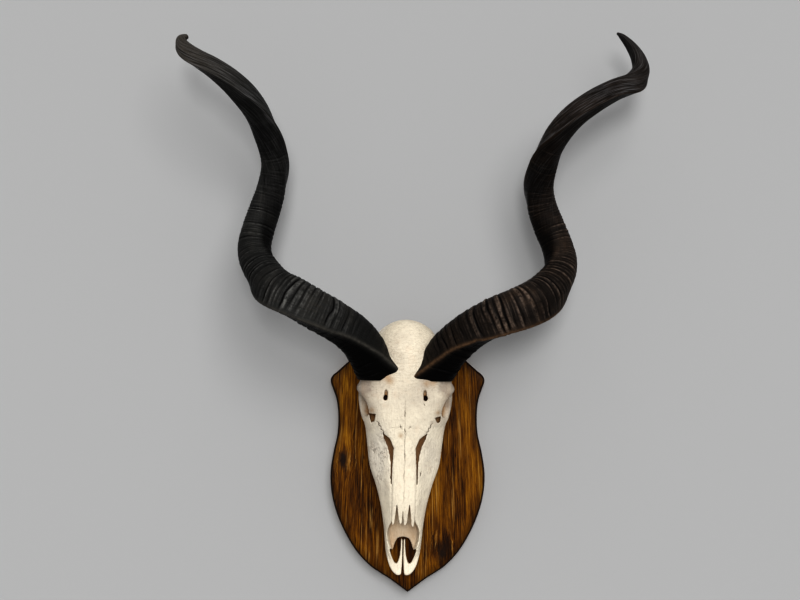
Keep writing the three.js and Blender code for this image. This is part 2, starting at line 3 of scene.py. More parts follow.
import bpy
import numpy as np
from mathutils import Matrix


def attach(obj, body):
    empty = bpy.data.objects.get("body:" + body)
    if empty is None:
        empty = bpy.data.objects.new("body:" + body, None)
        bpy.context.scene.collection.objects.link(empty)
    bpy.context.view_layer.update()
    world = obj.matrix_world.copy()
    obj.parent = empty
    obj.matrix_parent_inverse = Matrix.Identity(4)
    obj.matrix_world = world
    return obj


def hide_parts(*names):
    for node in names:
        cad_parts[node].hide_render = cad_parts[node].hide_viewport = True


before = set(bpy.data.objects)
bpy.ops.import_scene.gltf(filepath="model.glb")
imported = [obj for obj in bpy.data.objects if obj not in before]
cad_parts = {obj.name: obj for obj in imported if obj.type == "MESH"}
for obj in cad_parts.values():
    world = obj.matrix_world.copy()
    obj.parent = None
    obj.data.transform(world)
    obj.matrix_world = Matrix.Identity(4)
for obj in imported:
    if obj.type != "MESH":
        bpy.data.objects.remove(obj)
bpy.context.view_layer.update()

import openvdb
from mathutils import Vector, noise

# A kudu trophy: a bleached skull with spiral horns on a stained wooden shield.
#
# Shapes are worked out in millimetres and turned into metres at the end. The skull and the
# horns are worked out in the head's own frame, where a point is x, forward and z, and
# forward is the distance out from the shield's front face.

MM = 0.001
HEAD_X, HEAD_Z = -3.5, 123.0
HEAD_LEAN = math.radians(0.9)
SHIELD_THICKNESS = 22.0

SKULL_STEP = 1.6
NASAL_STEP = 0.85
HORN_COLUMNS = 112
HORN_STEP_RINGED = 1.05
HORN_STEP_SMOOTH = 2.1

CAMERA_X, CAMERA_Z, CAMERA_DISTANCE = -12.0, 269.0, 3000.0
CAMERA_LENS, CAMERA_SENSOR = 84.4, 36.0


# ---- Curves, outlines and meshes ----

def spline(points, places, closed=False):
    """A centripetal Catmull-Rom curve through points, at places counted in points."""
    points = np.asarray(points, float)
    if closed:
        padded = np.vstack([points[-1], points, points[0], points[1]])
    else:
        padded = np.vstack([2 * points[0] - points[1], points, 2 * points[-1] - points[-2]])
    index = np.clip(places.astype(int), 0, len(padded) - 4)
    p0, p1, p2, p3 = (padded[index + k] for k in range(4))

    def gap(a, b):
        return np.maximum(np.linalg.norm(b - a, axis=1, keepdims=True) ** 0.5, 1e-4)

    d0, d1, d2 = gap(p0, p1), gap(p1, p2), gap(p2, p3)
    leave = ((p1 - p0) / d0 - (p2 - p0) / (d0 + d1) + (p2 - p1) / d1) * d1
    arrive = ((p2 - p1) / d1 - (p3 - p1) / (d1 + d2) + (p3 - p2) / d2) * d1
    u = (places - index)[:, None]
    return (
        p1
        + leave * u
        + (3 * (p2 - p1) - 2 * leave - arrive) * u**2
        + (2 * (p1 - p2) + leave + arrive) * u**3
    )


def smooth_rows(heights, outlines, at):
    """Outlines given at rising heights, at other heights, by a cubic with no kinks."""
    slopes = np.gradient(outlines, heights, axis=0)
    index = np.clip(np.searchsorted(heights, at) - 1, 0, len(heights) - 2)
    span = (heights[index + 1] - heights[index])[:, None, None]
    u = (at - heights[index])[:, None, None] / span
    return (
        (2 * u**3 - 3 * u**2 + 1) * outlines[index]
        + (u**3 - 2 * u**2 + u) * span * slopes[index]
        + (3 * u**2 - 2 * u**3) * outlines[index + 1]
        + (u**3 - u**2) * span * slopes[index + 1]
    )


def on_side(side, points):
    """Points with x as given on side 1, and mirrored on side -1."""
    return [(side * x, *rest) for x, *rest in points]


def from_head(points):
    """Points [x, forward, z] of the head's frame, in mm, as points of the part in metres."""
    x, forward, z = np.moveaxis(np.asarray(points, float), -1, 0)
    c, s = math.cos(HEAD_LEAN), math.sin(HEAD_LEAN)
    placed = [HEAD_X + x * c + z * s, -(SHIELD_THICKNESS + forward), HEAD_Z - x * s + z * c]
    return np.stack(placed, -1) * MM


def add_object(name, data):
    obj = bpy.data.objects.new(name, data)
    bpy.context.scene.collection.objects.link(obj)
    return obj


def add_mesh(name, points, faces, material):
    """A smooth-shaded mesh object from arrays."""
    mesh = bpy.data.meshes.new(name)
    mesh.from_pydata(np.asarray(points).tolist(), [], faces)
    mesh.update()
    mesh.shade_smooth()
    if material:
        mesh.materials.append(material)
    return add_object(name, mesh)


def add_attributes(obj, **attributes):
    """Named values at each point of a mesh, for its material to read."""
    for name, values in attributes.items():
        layer = obj.data.attributes.new(name, "FLOAT", "POINT")
        layer.data.foreach_set("value", np.asarray(values, np.float32).ravel())


def noise_at(points, scale, seed=0.0):
    """Smooth noise between -1 and 1 at each point, for a scale in cycles per unit."""
    offset = Vector((seed, seed * 1.7, -seed))
    return np.array([noise.noise(Vector(p) * scale + offset) for p in points])


def hump(value, centre, width):
    """1 at the centre, and fading to nothing within about two widths of it."""
    return np.exp(-(((value - centre) / width) ** 2))


def spot(x, z, centre_x, width, centre_z, height):
    """A hump in x times one in z."""
    return hump(x, centre_x, width) * hump(z, centre_z, height)


def tube_faces(rows, columns):
    """Quads of a closed tube of rows x columns points, and its two end caps."""
    row, column = np.meshgrid(np.arange(rows - 1), np.arange(columns), indexing="ij")
    after = (column + 1) % columns
    quads = np.stack(
        [row * columns + column, row * columns + after,
         (row + 1) * columns + after, (row + 1) * columns + column], -1)
    caps = [list(range(columns))[::-1], list(range((rows - 1) * columns, rows * columns))]
    return quads.reshape(-1, 4).tolist() + caps


# ---- Material nodes ----

class Value:
    """An output of a shader node. Arithmetic on it adds math nodes to its material."""

    def __init__(self, node, output=0):
        self.tree = node.id_data
        self.socket = node.outputs[output]

    def __add__(self, other):
        return calculate("ADD", self, other)

    def __sub__(self, other):
        return calculate("SUBTRACT", self, other)

    def __rsub__(self, other):
        return calculate("SUBTRACT", other, self)

    def __mul__(self, other):
        return calculate("MULTIPLY", self, other)

    def __abs__(self):
        return calculate("ABSOLUTE", self)

    __radd__ = __add__
    __rmul__ = __mul__

    def remap(self, low, high, to_low=0.0, to_high=1.0):
        """The stretch from low to high laid over another one, and held at its ends."""
        inputs = {0: self, 1: low, 2: high, 3: to_low, 4: to_high}
        return Value(add_node(self.tree, "ShaderNodeMapRange", inputs))

    def ramp(self, stops):
        """A colour between stops, each a place and its colour."""
        made = add_node(self.tree, "ShaderNodeValToRGB", {0: self})
        elements = made.color_ramp.elements
        while len(elements) < len(stops):
            elements.new(0.5)
        for element, (place, colour) in zip(elements, stops):
            element.position = place
            element.color = (*colour, 1.0)
        return Value(made)

    def stretched(self, x, y, z):
        """A place with each of its coordinates scaled."""
        return Value(add_node(self.tree, "ShaderNodeMapping", {"Vector": self, "Scale": (x, y, z)}))

    def noise(self, scale, detail=4.0, roughness=0.6, distortion=0.0):
        """Noise at a place, for a scale in cycles per unit."""
        inputs = {"Vector": self, "Scale": scale, "Detail": detail, "Roughness": roughness,
                  "Distortion": distortion}
        return Value(add_node(self.tree, "ShaderNodeTexNoise", inputs))


def new_material(name):
    material = bpy.data.materials.new(name)
    material.use_nodes = True
    material.node_tree.nodes.clear()
    return material, material.node_tree


def add_node(tree, kind, inputs=None, **settings):
    """A shader node with its settings, and its inputs set to numbers or linked to values."""
    made = tree.nodes.new(kind)
    for key, value in settings.items():
        setattr(made, key, value)
    for key, value in (inputs or {}).items():
        socket = made.inputs[key]
        if isinstance(value, Value):
            tree.links.new(value.socket, socket)
        else:
            socket.default_value = (*value, 1.0) if socket.type == "RGBA" else value
    return made


def calculate(operation, *operands):
    tree = next(operand.tree for operand in operands if isinstance(operand, Value))
    inputs = dict(enumerate(operands))
    return Value(add_node(tree, "ShaderNodeMath", inputs, operation=operation))


def object_place(tree):
    """The place on the object, in metres."""
    return Value(add_node(tree, "ShaderNodeTexCoord"), "Object")


def read_attributes(tree, *names):
    return [
        Value(add_node(tree, "ShaderNodeAttribute", attribute_name=name), "Fac")
        for name in names]


def combined(x, y, z):
    return Value(add_node(x.tree, "ShaderNodeCombineXYZ", {0: x, 1: y, 2: z}))


def mix_colour(share, a, b):
    """Colour a turned into colour b by a share from 0 to 1."""
    made = add_node(share.tree, "ShaderNodeMix", {0: share, 6: a, 7: b}, data_type="RGBA")
    return Value(made, 2)


def painted(colour, *layers):
    """A colour with others laid over it in turn, each given as a share and a colour."""
    for share, other in layers:
        colour = mix_colour(share, colour, other)
    return colour


def show_surface(shader):
    add_node(shader.tree, "ShaderNodeOutputMaterial", {0: shader})


def finish_material(tree, colour, roughness, height, bump_depth, specular=0.5, metallic=0.0):
    """The surface, with bumps as high as the height's value times a depth in metres."""
    bump = add_node(
        tree, "ShaderNodeBump", {"Strength": 1.0, "Distance": bump_depth, "Height": height})
    inputs = {"Base Color": colour, "Roughness": roughness, "Normal": Value(bump),
              "Specular IOR Level": specular, "Metallic": metallic}
    show_surface(Value(add_node(tree, "ShaderNodeBsdfPrincipled", inputs)))


# ---- Bone ----

BONE_CREAM = (0.703, 0.632, 0.504)
BONE_COOL = (0.70, 0.645, 0.555)
# Grey: the bone's own greyer tone, and painted shade where the grey attribute marks shade
BONE_GREY = (0.275, 0.235, 0.195)
BONE_STREAK = (0.40, 0.32, 0.235)
BONE_WARM = (0.60, 0.41, 0.28)
# Dark lines in the crown's wrinkles: partly the bone's own lines, partly painted shade in the
# creases
BONE_CREASE = (0.27, 0.21, 0.14)
BONE_WORM = (0.21, 0.165, 0.125)
# Brown: real stains, and painted shade in recesses and holes
BONE_STAIN_AND_SHADE = (0.28, 0.145, 0.048)
# Deep brown and near black: painted shade in holes and deep recesses
BONE_DEEP = (0.105, 0.040, 0.005)
BONE_HOLE = (0.020, 0.008, 0.004)
BONE_LINE = (0.085, 0.048, 0.024)


def bone_material():
    material, tree = new_material("bone")
    place = object_place(tree)
    mottle = place.noise(22.0)
    cloud = place.noise(60.0, 5.0, 0.65)
    specks = place.noise(260.0, 4.0, 0.65)
    jagged = place.noise(520.0, 4.0, 0.65)
    grain = place.noise(900.0)
    streaks = place.stretched(420.0, 300.0, 38.0).noise(1.0, 5.0, 0.6)
    wrinkles = place.stretched(62.0, 300.0, 430.0).noise(1.0, 4.0, 0.62, 0.7)
    worms = place.stretched(250.0, 250.0, 130.0).noise(1.0, 3.0, 0.6, 0.6)
    grey, stain, deep, line, crown, seam, rough = read_attributes(
        tree, "grey", "stain", "deep", "line", "crown", "seam", "rough")

    cooled = rough * mottle.remap(0.3, 0.6, 0.45, 0.95)
    # The grey layer carries painted shade where the grey attribute marks it, as well as the bone's
    # own greyer tone
    greyness = grey * cloud.remap(0.3, 0.65, 0.62, 1.0) + mottle.remap(0.42, 0.64) * 0.26
    greyness = greyness + specks.remap(0.52, 0.70) * 0.24
    streaked = streaks.remap(0.54, 0.74) * 0.30
    warmed = cloud.remap(0.55, 0.72) * 0.15
    # Crease lines on the crown: partly the bone's own lines, partly painted shade in the wrinkles
    creased = abs(wrinkles - 0.47).remap(0.0, 0.024, 0.85, 0.0) * crown
    wormed = abs(worms - 0.5).remap(0.008, 0.032, 0.85, 0.0) * rough * cloud.remap(0.46, 0.60)
    # Brown from real stains, and painted shade in recesses and holes
    stained = stain * cloud.remap(0.25, 0.7, 0.75, 1.0)
    beside = abs((jagged - 0.5) * 3.4 + seam)
    lined = line * beside.remap(0.15, 0.75, 1.0, 0.0)
    # In these layers the deep brown and the near black are painted shade in holes and deep recesses
    colour = painted(
        BONE_CREAM, (cooled, BONE_COOL), (greyness, BONE_GREY), (streaked, BONE_STREAK),
        (warmed, BONE_WARM), (creased, BONE_CREASE), (wormed, BONE_WORM), (stained, BONE_STAIN_AND_SHADE),
        (deep, BONE_DEEP), (deep.remap(0.9, 1.0), BONE_HOLE), (lined, BONE_LINE))

    relief = mix_colour(crown, streaks, wrinkles) + grain * 0.35 + specks * 0.5
    relief = relief - wormed * 0.6 - lined * 0.8
    finish_material(tree, colour, 0.62, relief, 0.0017, 0.25)
    return material


# ---- Signed distances, for carving the skull ----

FAR_AWAY = 30.0


def smooth_least(a, b, blend):
    """The lesser of two distances, rounded off where they're about the same."""
    return np.minimum(a, b) - np.maximum(blend - np.abs(a - b), 0) ** 2 / (4 * blend)


class Field:
    """Signed distances on a grid in the head's frame, in mm, below zero inside the bone."""

    def __init__(self, low, high, step):
        self.step = step
        self.low = np.asarray(low, float)
        self.axes = [np.arange(a, b, step, dtype=np.float32) for a, b in zip(low, high)]
        self.values = np.full([len(axis) for axis in self.axes], FAR_AWAY, np.float32)

    def part(self, shape, margin):
        """The stretch of the grid that a shape reaches, with its distances there."""
        low, high, distance = shape
        cut = tuple(
            slice(int(np.searchsorted(axis, a - margin)), int(np.searchsorted(axis, b + margin)))
            for axis, a, b in zip(self.axes, low, high))
        x, forward, z = np.meshgrid(
            *(axis[piece] for axis, piece in zip(self.axes, cut)), indexing="ij", sparse=True)
        return cut, distance(x, forward, z)

    def join(self, shape, blend=2.0):
        cut, other = self.part(shape, blend + 6)
        self.values[cut] = smooth_least(self.values[cut], other, blend)

    def carve(self, shape, blend=2.0, skin=None, depth=0.0):
        """Cut a shape out, only down to a depth below another field's surface if it's given."""
        cut, other = self.part(shape, blend + 6)
        if skin is not None:
            other = np.maximum(other, -(skin.values[cut] + depth))
        self.values[cut] = -smooth_least(-self.values[cut], other, blend)

    def sample(self, points):
        """The distances at points [x, forward, z], from the grid's eight nearest values."""
        place = (np.asarray(points) - self.low) / self.step
        base = np.clip(np.floor(place).astype(int), 0, np.array(self.values.shape) - 2)
        share = place - base
        total = np.zeros(len(place))
        for corner in np.ndindex(2, 2, 2):
            weight = np.prod(np.where(np.array(corner), share, 1 - share), axis=1)
            i, j, k = (base + corner).T
            total += weight * self.values[i, j, k]
        return total


def ball(centre, radii, side=1):
    """An ellipsoid, with its centre mirrored on side -1."""
    centre, radii = np.multiply(centre, (side, 1.0, 1.0)), np.asarray(radii, float)

    def distance(x, forward, z):
        near = sum(((v - c) / r) ** 2 for v, c, r in zip((x, forward, z), centre, radii)) ** 0.5
        slope = sum(((v - c) / r**2) ** 2 for v, c, r in zip((x, forward, z), centre, radii)) ** 0.5
        return near * (near - 1) / np.maximum(slope, 1e-6)

    return centre - radii, centre + radii, distance


def limb(stations, steps=4):
    """A tapering round limb through stations [x, forward, z, radius]."""
    stations = np.asarray(stations, float)
    path = spline(stations, np.linspace(0, len(stations) - 1, (len(stations) - 1) * steps + 1))

    def distance(x, forward, z):
        nearest = np.float32(1e3)
        for start, end in zip(path[:-1], path[1:]):
            along = end[:3] - start[:3]
            offset = [x - start[0], forward - start[1], z - start[2]]
            share = sum(o * a for o, a in zip(offset, along)) / max(along @ along, 1e-9)
            share = np.clip(share, 0, 1)
            away = sum((o - a * share) ** 2 for o, a in zip(offset, along)) ** 0.5
            nearest = np.minimum(nearest, away - (start[3] + (end[3] - start[3]) * share))
        return nearest

    reach = path[:, 3:].max()
    return path[:, :3].min(0) - reach, path[:, :3].max(0) + reach, distance


def from_stretch(x, y, start, end):
    """The way to each place from the nearest point of a straight stretch, in a plane."""
    (ax, ay), (bx, by) = start, end
    ex, ey = bx - ax, by - ay
    share = np.clip(((x - ax) * ex + (y - ay) * ey) / max(ex * ex + ey * ey, 1e-9), 0, 1)
    return x - ax - ex * share, y - ay - ey * share


def outline_distance(x, y, outline):
    """Signed distance in a plane from points to a closed outline, below zero inside."""
    nearest, inside = np.float32(1e6), False
    for start, end in zip(outline, np.roll(outline, -1, axis=0)):
        across, up = from_stretch(x, y, start, end)
        nearest = np.minimum(nearest, across**2 + up**2)
        (ax, ay), (bx, by) = start, end
        if ay != by:
            crossing = (bx - ax) * (y - ay) / (by - ay) + ax
            inside = inside ^ (((ay > y) != (by > y)) & (x < crossing))
    return np.where(inside, -1, 1) * np.sqrt(nearest)


def prism(outline, back, front):
    """An outline in x and z, between two distances forward."""
    outline = np.asarray(outline, float)

    def distance(x, forward, z):
        flat = outline_distance(x, z, outline)
        return np.maximum(flat, np.abs(forward - (back + front) / 2) - (front - back) / 2)

    low, high = outline.min(0), outline.max(0)
    return (low[0], back, low[1]), (high[0], front, high[1]), distance


def stack(heights, outlines):
    """A solid from level outlines [x, forward], one at each of the rising heights."""
    heights, outlines = np.asarray(heights, float), np.asarray(outlines, float)

    def distance(x, forward, z):
        levels = np.clip(z.ravel(), heights[0], heights[-1])
        inside = np.stack([
            outline_distance(x[:, :, 0], forward[:, :, 0], outline)
            for outline in smooth_rows(heights, outlines, levels)], -1)
        return np.maximum(inside, np.maximum(heights[0] - z, z - heights[-1]))

    low, high = outlines.min((0, 1)), outlines.max((0, 1))
    return (low[0], low[1], heights[0]), (high[0], high[1], heights[-1]), distance


# ---- Skull ----

# Level sections of the face: z, front, ridge, brow, side, foot and back, with x, forward
# pairs for the right half
FACE = [
    (-272, 19, (8, 19), (15, 18.5), (19, 16), (15, 12), 12),
    (-246, 34, (13, 34), (22, 31), (27, 21), (22, 12), 12),
    (-208, 60, (14, 59), (24, 52), (31, 33), (27, 12), 12),
    (-175, 75, (18, 72), (27, 60), (36, 40), (31, 13), 13),
    (-145, 83, (19, 79), (30, 67), (43.5, 44), (36, 14), 14),
    (-114, 90, (20, 86), (36, 72), (54, 46), (41, 17), 16),
    (-80, 98, (23, 93), (44, 77), (58.5, 52), (42, 18), 18),
    (-52, 106, (32, 101), (52, 83), (62, 55), (40, 20), 20),
    (-28, 112, (40, 108), (55.5, 93), (68, 56), (36, 26), 22),
    (-6, 116, (48, 111), (64.5, 98), (70.5, 60), (34, 30), 24),
    (8, 118, (52, 111), (73.5, 98), (71, 62), (34, 34), 24),
    (22, 119, (48, 112), (67, 99), (66, 66), (34, 35), 24),
    (42, 117, (40, 112), (60, 101), (61, 82), (36, 40), 22),
    (72, 100, (20, 96), (32, 84), (38, 64), (26, 32), 24),
]

# The air passage: z, front, half width and floor
NOSE = [
    (-292, 90, 12, 26), (-270, 90, 14, 20.5), (-248, 92, 19, 18), (-232, 95, 23.5, 17),
    (-215, 95, 24.2, 17.5), (-206, 94, 21.5, 18), (-199, 92, 18.2, 19), (-186, 92, 16.6, 21),
    (-173, 92, 15.6, 22), (-166, 72, 15.6, 23), (-150, 78, 17, 24), (-96, 86, 15, 30),
]

NASAL_FRONT = [(-206, 68), (-177, 76), (-145, 83.5), (-114, 90.5), (-84, 97.4), (-60, 103)]
NASAL_HALF_WIDTH = 17.8
NASAL_THICKNESS = 4.5

# The nasal bones' outline in x and z, down one side, round the four prongs and up again
NASAL_OUTLINE = [
    (2, -56), (10, -70), (17.2, -84), (17.8, -130), (17.8, -186), (17.2, -197), (15.2, -207),
    (12.6, -204), (11.4, -190), (9.6, -171), (8.6, -171), (6.6, -187), (5.4, -199), (2.8, -204),
    (0.4, -202), (-0.7, -181), (-1.4, -181), (-2.6, -199), (-4.6, -202.5), (-6.6, -198),
    (-8.4, -187), (-10.0, -171), (-11.0, -171), (-13.0, -189), (-14.4, -200), (-16.8, -205),
    (-18.2, -198), (-18.2, -186), (-17.8, -130), (-17.2, -84), (-10, -70), (-2, -56),
]

# Outlines in x and z: the muzzle's right side and its openings, the slits beside the nasal
# bones, and the holes before the eyes
MUZZLE_SIDE = [
    (28, -205), (28.5, -226), (27.6, -246), (22.5, -270), (16, -282.5), (8, -288.3), (1, -287),
]
MUZZLE_MIDDLE, MUZZLE_ROUNDING = 15.5, 3.0
MUZZLE_OPENING = [
    (3.2, -229), (3.4, -243), (4.6, -256), (6.4, -263.5), (8.4, -269), (11, -270.3), (13.8, -267.5),
    (17.2, -260), (19.6, -253.5), (21.9, -243.8), (19, -246.4), (16.4, -248), (14.3, -242),
    (12.6, -236), (8.6, -229.3), (5, -228.2),
]
MUZZLE_GAP = [(-4.2, -227.6), (4.2, -227.6), (3.6, -230.4), (0, -232.6), (-3.6, -230.4)]
MUZZLE_CLEFT = [(0.95, -230), (0.95, -262), (1.5, -275), (3.0, -292), (-3.0, -292), (-1.5, -275),
                (-0.95, -262), (-0.95, -230)]
NOSE_SLIT = [
    (33.5, -59.0), (22.6, -67.8), (16.6, -83.3), (17.6, -93.6), (18.4, -107), (18.8, -139),
    (20.2, -139), (21.0, -107), (22.8, -93.6), (26.2, -80), (32.4, -66),
]
SLIT_DEPTH = 7.0
TEAR_HOLES = [
    [(-56.0, -29.6), (-45.4, -29.8), (-47.4, -41), (-52.4, -43)],
    [(45.6, -34), (55, -32.6), (53.4, -42), (49.4, -43)],
]

# Limbs of bone and the spine's hole: stations x, forward, z and radius
ORBIT_RIM = [(53, 78, -42, 4), (62.5, 61, -38, 3.8), (68.5, 52, -16, 3.4), (69.8, 55, 8, 3.4),
             (68.4, 72, 15, 3.4), (65, 88, 12, 3.4)]
CHEEK_BONE = [
    (60, 50, -40, 6), (65, 50, -14, 6), (65, 47, 12, 5.5), (59, 43, 36, 5.5), (46, 42, 56, 7),
]
CREST = [(-46, 38, 74, 5), (-34, 54, 95, 6), (0, 63, 106, 7), (34, 54, 95, 6), (46, 38, 74, 5)]
EAR_SPIKE = [(40, 40, 72, 7), (38, 20, 82, 5), (36, 3, 86, 2.5)]
SKULL_FLOOR = [(0, 22, 98, 13), (0, 22, 60, 13), (0, 26, 10, 11), (0, 24, -30, 12)]
SPINE_HOLE = [(0, 38, 130, 11), (0, 38, 104, 11), (0, 40, 78, 9)]
HORN_CORE = [(36, 80, 16, 25), (48, 94, 38, 25), (59, 112, 64, 19)]

# Balls of bone, or cut out of it: the right one's centre, and radii
BRAINCASE = (0, 62, 58), (54, 58, 57)
NAPE = (0, 32, 82), (36, 26, 22)
CONDYLE = (15, 22, 100), (10, 13, 10)
EAR_BULLA = (25, 18, 58), (10, 13, 16)
TEMPLE_HOLLOW = (70, 54, 36), (22, 24, 15)
EYE_SOCKET = (76, 77, -13), (34, 23, 25.5)
BROW_GROOVE = (29.8, 115, 1.5), (2.5, 8, 7.5)
BROW_HOLE = (30.8, 113, -4.2), (3.3, 14, 3.8)

# The room that each shape takes up: the lowest and the highest x, forward and z
SKULL_BOX = (-84, -2, -294), (84, 126, 126)
MUZZLE_BOX = (-29, 9, -289), (29, 22, -205)
NASAL_BOX = (-24, 52, -212), (24, 112, -50)


def section(front, right, back, detail):
    """A level outline with both sides alike, from its front, its right side and its back."""
    corners = [(0, front), *right, (0, back), *on_side(-1, right[::-1])]
    return spline(corners, np.arange(0, len(corners), 1 / detail), closed=True)


def face_shape():
    outlines = [section(front, right, back, 6) for _, front, *right, back in FACE]
    return stack([row[0] for row in FACE], outlines)


def nose_shape():
    outlines = []
    for _, front, half, floor in NOSE:
        right = [(half * 0.8, front - 4), (half, (front + floor) / 2), (half * 0.85, floor + 4)]
        outlines.append(section(front, right, floor, 3))
    return stack([row[0] for row in NOSE], outlines)


def nasal_shape():
    """The thin arched roof of the nose."""
    heights, fronts = np.array(NASAL_FRONT, float).T
    outline = np.array(NASAL_OUTLINE, float)

    def distance(x, forward, z):
        raised = 1.9 * np.clip((-80 - z) / 40, 0, 1) - 0.7
        top = np.interp(z, heights, fronts) - 4.6 * (x / NASAL_HALF_WIDTH) ** 2 + raised
        sheet = np.abs(forward - top + NASAL_THICKNESS / 2) - NASAL_THICKNESS / 2
        return np.maximum(outline_distance(x, z, outline), sheet)

    return *NASAL_BOX, distance


def muzzle_shape():
    """The flat front of the muzzle, with a rounded edge."""
    side = spline(MUZZLE_SIDE, np.linspace(0, len(MUZZLE_SIDE) - 1, 25))
    outline = np.vstack([side, (side * (-1, 1))[::-1]])

    def distance(x, forward, z):
        half_thickness = 4.5 + 1.5 * np.clip((-250 - z) / 30, 0, 1)
        over = outline_distance(x, z, outline) + MUZZLE_ROUNDING
        up = np.abs(forward - MUZZLE_MIDDLE) - half_thickness + MUZZLE_ROUNDING
        outside = np.sqrt(np.maximum(over, 0) ** 2 + np.maximum(up, 0) ** 2)
        return outside + np.minimum(np.maximum(over, up), 0) - MUZZLE_ROUNDING

    return *MUZZLE_BOX, distance


def tooth_shapes():
    """Twelve cheek teeth, each with two lobes."""
    count, first, last = 6, -142.0, -40.0
    pitch = (last - first) / (count - 1)
    for index in range(count):
        share = index / (count - 1)
        z = first + pitch * index
        x = 29 + 8 * math.sin(share * math.pi / 2)
        across = 7 * (0.72 + 0.28 * share)
        for lobe in (-0.25, 0.25):
            tooth = [(x, 1.6 + across * 0.4, z + pitch * lobe, across * 0.42),
                     (x - 1, 22, z + pitch * lobe, across * 0.62)]
            for side in (1, -1):
                yield limb(on_side(side, tooth), 1)


def build_field():
    """The skull's bone, and the same before its openings were cut."""
    field = Field(*SKULL_BOX, SKULL_STEP)
    field.join(face_shape())
    field.join(ball(*BRAINCASE), 9)
    for side in (1, -1):
        field.carve(ball(*TEMPLE_HOLLOW, side), 5)
        field.join(limb(on_side(side, HORN_CORE)), 6)
        field.join(limb(on_side(side, EAR_SPIKE)), 4)
        field.join(ball(*CONDYLE, side), 3)
        field.join(ball(*EAR_BULLA, side), 3)
    field.join(limb(CREST), 5)
    field.join(ball(*NAPE), 4)
    field.join(limb(SKULL_FLOOR), 4)
    whole = Field(*SKULL_BOX, SKULL_STEP)
    whole.values = field.values.copy()

    for side in (1, -1):
        field.carve(ball(*EYE_SOCKET, side), 1.4)
        field.join(limb(on_side(side, ORBIT_RIM)), 3)
        field.join(limb(on_side(side, CHEEK_BONE)), 4)
    field.carve(nose_shape(), 2)
    field.join(muzzle_shape(), 3)
    for tooth in tooth_shapes():
        field.join(tooth, 1.2)
    for side in (1, -1):
        field.carve(ball(*BROW_GROOVE, side), 0.8)
        field.carve(ball(*BROW_HOLE, side), 0.8)
        field.carve(prism(on_side(side, NOSE_SLIT), 40, 130), 0.6, whole, SLIT_DEPTH)
        field.carve(prism(on_side(side, MUZZLE_OPENING), 0, 60), 1)
    for outline in TEAR_HOLES:
        field.carve(prism(outline, 66, 120), 1)
    field.carve(prism(MUZZLE_CLEFT, 0, 60), 0.6)
    field.carve(prism(MUZZLE_GAP, 0, 60), 0.4)
    field.carve(limb(SPINE_HOLE), 3)
    return field, whole


# Pinkish brown blotches in the bone: x, z and size
BONE_BLOTCHES = [
    (-24, 22, 6), (-30, 30, 7), (32, 19, 5), (42, 20, 5), (-6.5, -62, 4), (-52, -24, 5),
    (50, -26, 4),
]

SEAM_REACH = 4.0
NARROWEST_SEAM = SKULL_STEP * 0.62

# Seams and nicks in the bone: points in x and z, width, depth and darkness
SEAMS = [
    ([(-0.3, -8), (0.5, -18), (-0.6, -30), (0.3, -40), (-0.4, -52)], 0.9, 0.25, 0.22),
    ([(-0.2, -21), (0.1, -27), (-0.3, -33)], 1.2, 0.9, 1.0),
    ([(-0.3, -55), (0.2, -80), (-0.5, -110), (0.2, -140)], 0.8, 0.3, 0.45),
    ([(-0.3, -52), (0.2, -58)], 1.3, 0.8, 1.0),
    ([(-7.2, -47.5), (-6.0, -50.5)], 1.3, 0.8, 1.0),
    ([(7, -49.5), (8, -49)], 1.2, 0.7, 0.8),
    ([(-43, -41), (-40, -44), (-41, -47), (-37, -49), (-38, -53), (-34, -55), (-33, -60)],
     0.9, 0.5, 0.9),
    ([(42, -43), (39, -46), (40, -50), (36, -51), (37, -55), (33.5, -57), (33, -61)],
     0.9, 0.5, 0.85),
    ([(-33, -58), (-26, -53), (-19, -50), (-12, -51), (-6, -49)], 0.9, 0.3, 0.14),
    ([(33, -58), (27, -53), (20, -50), (13, -51), (7, -49)], 0.9, 0.3, 0.12),
    ([(-4, -60), (-11, -71), (-17, -83)], 1.0, 0.4, 0.10),
    ([(4, -60), (11, -71), (17, -83)], 1.0, 0.4, 0.08),
    ([(-18.9, -139), (-18.8, -160), (-18.6, -190)], 1.1, 0.3, 0.28),
    ([(18.9, -139), (18.8, -160), (18.6, -186)], 1.1, 0.3, 0.25),
    ([(29, -13), (29.5, -14)], 1.4, 0.8, 0.9),
    ([(26.5, -120), (25.5, -125)], 1.3, 0.9, 0.9),
    ([(-21.5, -127), (-21.2, -130)], 1.3, 0.8, 0.9),
]


def seam_distance(x, z, points):
    """Distance in x and z from each place to an open line, below zero on its left."""
    nearest = np.full(len(x), 1e3)
    for start, end in zip(points[:-1], points[1:]):
        away = np.hypot(*from_stretch(x, z, start, end))
        (ax, az), (bx, bz) = start, end
        left = (x - ax) * (bz - az) < (z - az) * (bx - ax)
        nearest = np.where(away < np.abs(nearest), away * np.where(left, -1, 1), nearest)
    return nearest


def surface_of(field):
    """A field's surface: points, quads and the outward direction at each point."""
    band = 3 * field.step
    grid = openvdb.FloatGrid()
    grid.background = band
    grid.copyFromArray(np.clip(field.values, -band, band))
    points, quads = grid.convertToQuads()
    points = points.astype(float) * field.step + field.low
    quads = quads.astype(int)[:, ::-1]
    corners = points[quads]
    turn = np.cross(corners[:, 3] - corners[:, 1], corners[:, 2] - corners[:, 0])
    normals = np.zeros_like(points)
    for column in range(4):
        np.add.at(normals, quads[:, column], turn)
    normals /= np.maximum(np.linalg.norm(normals, axis=1, keepdims=True), 1e-9)
    return points, quads, normals


def nasal_seam(x, z):
    """How far each place is to the side of the wavy seam between the nasal bones, in mm."""
    return x + 0.5 * np.sin(z / 7) + 0.3 * np.sin(z / 2.3)


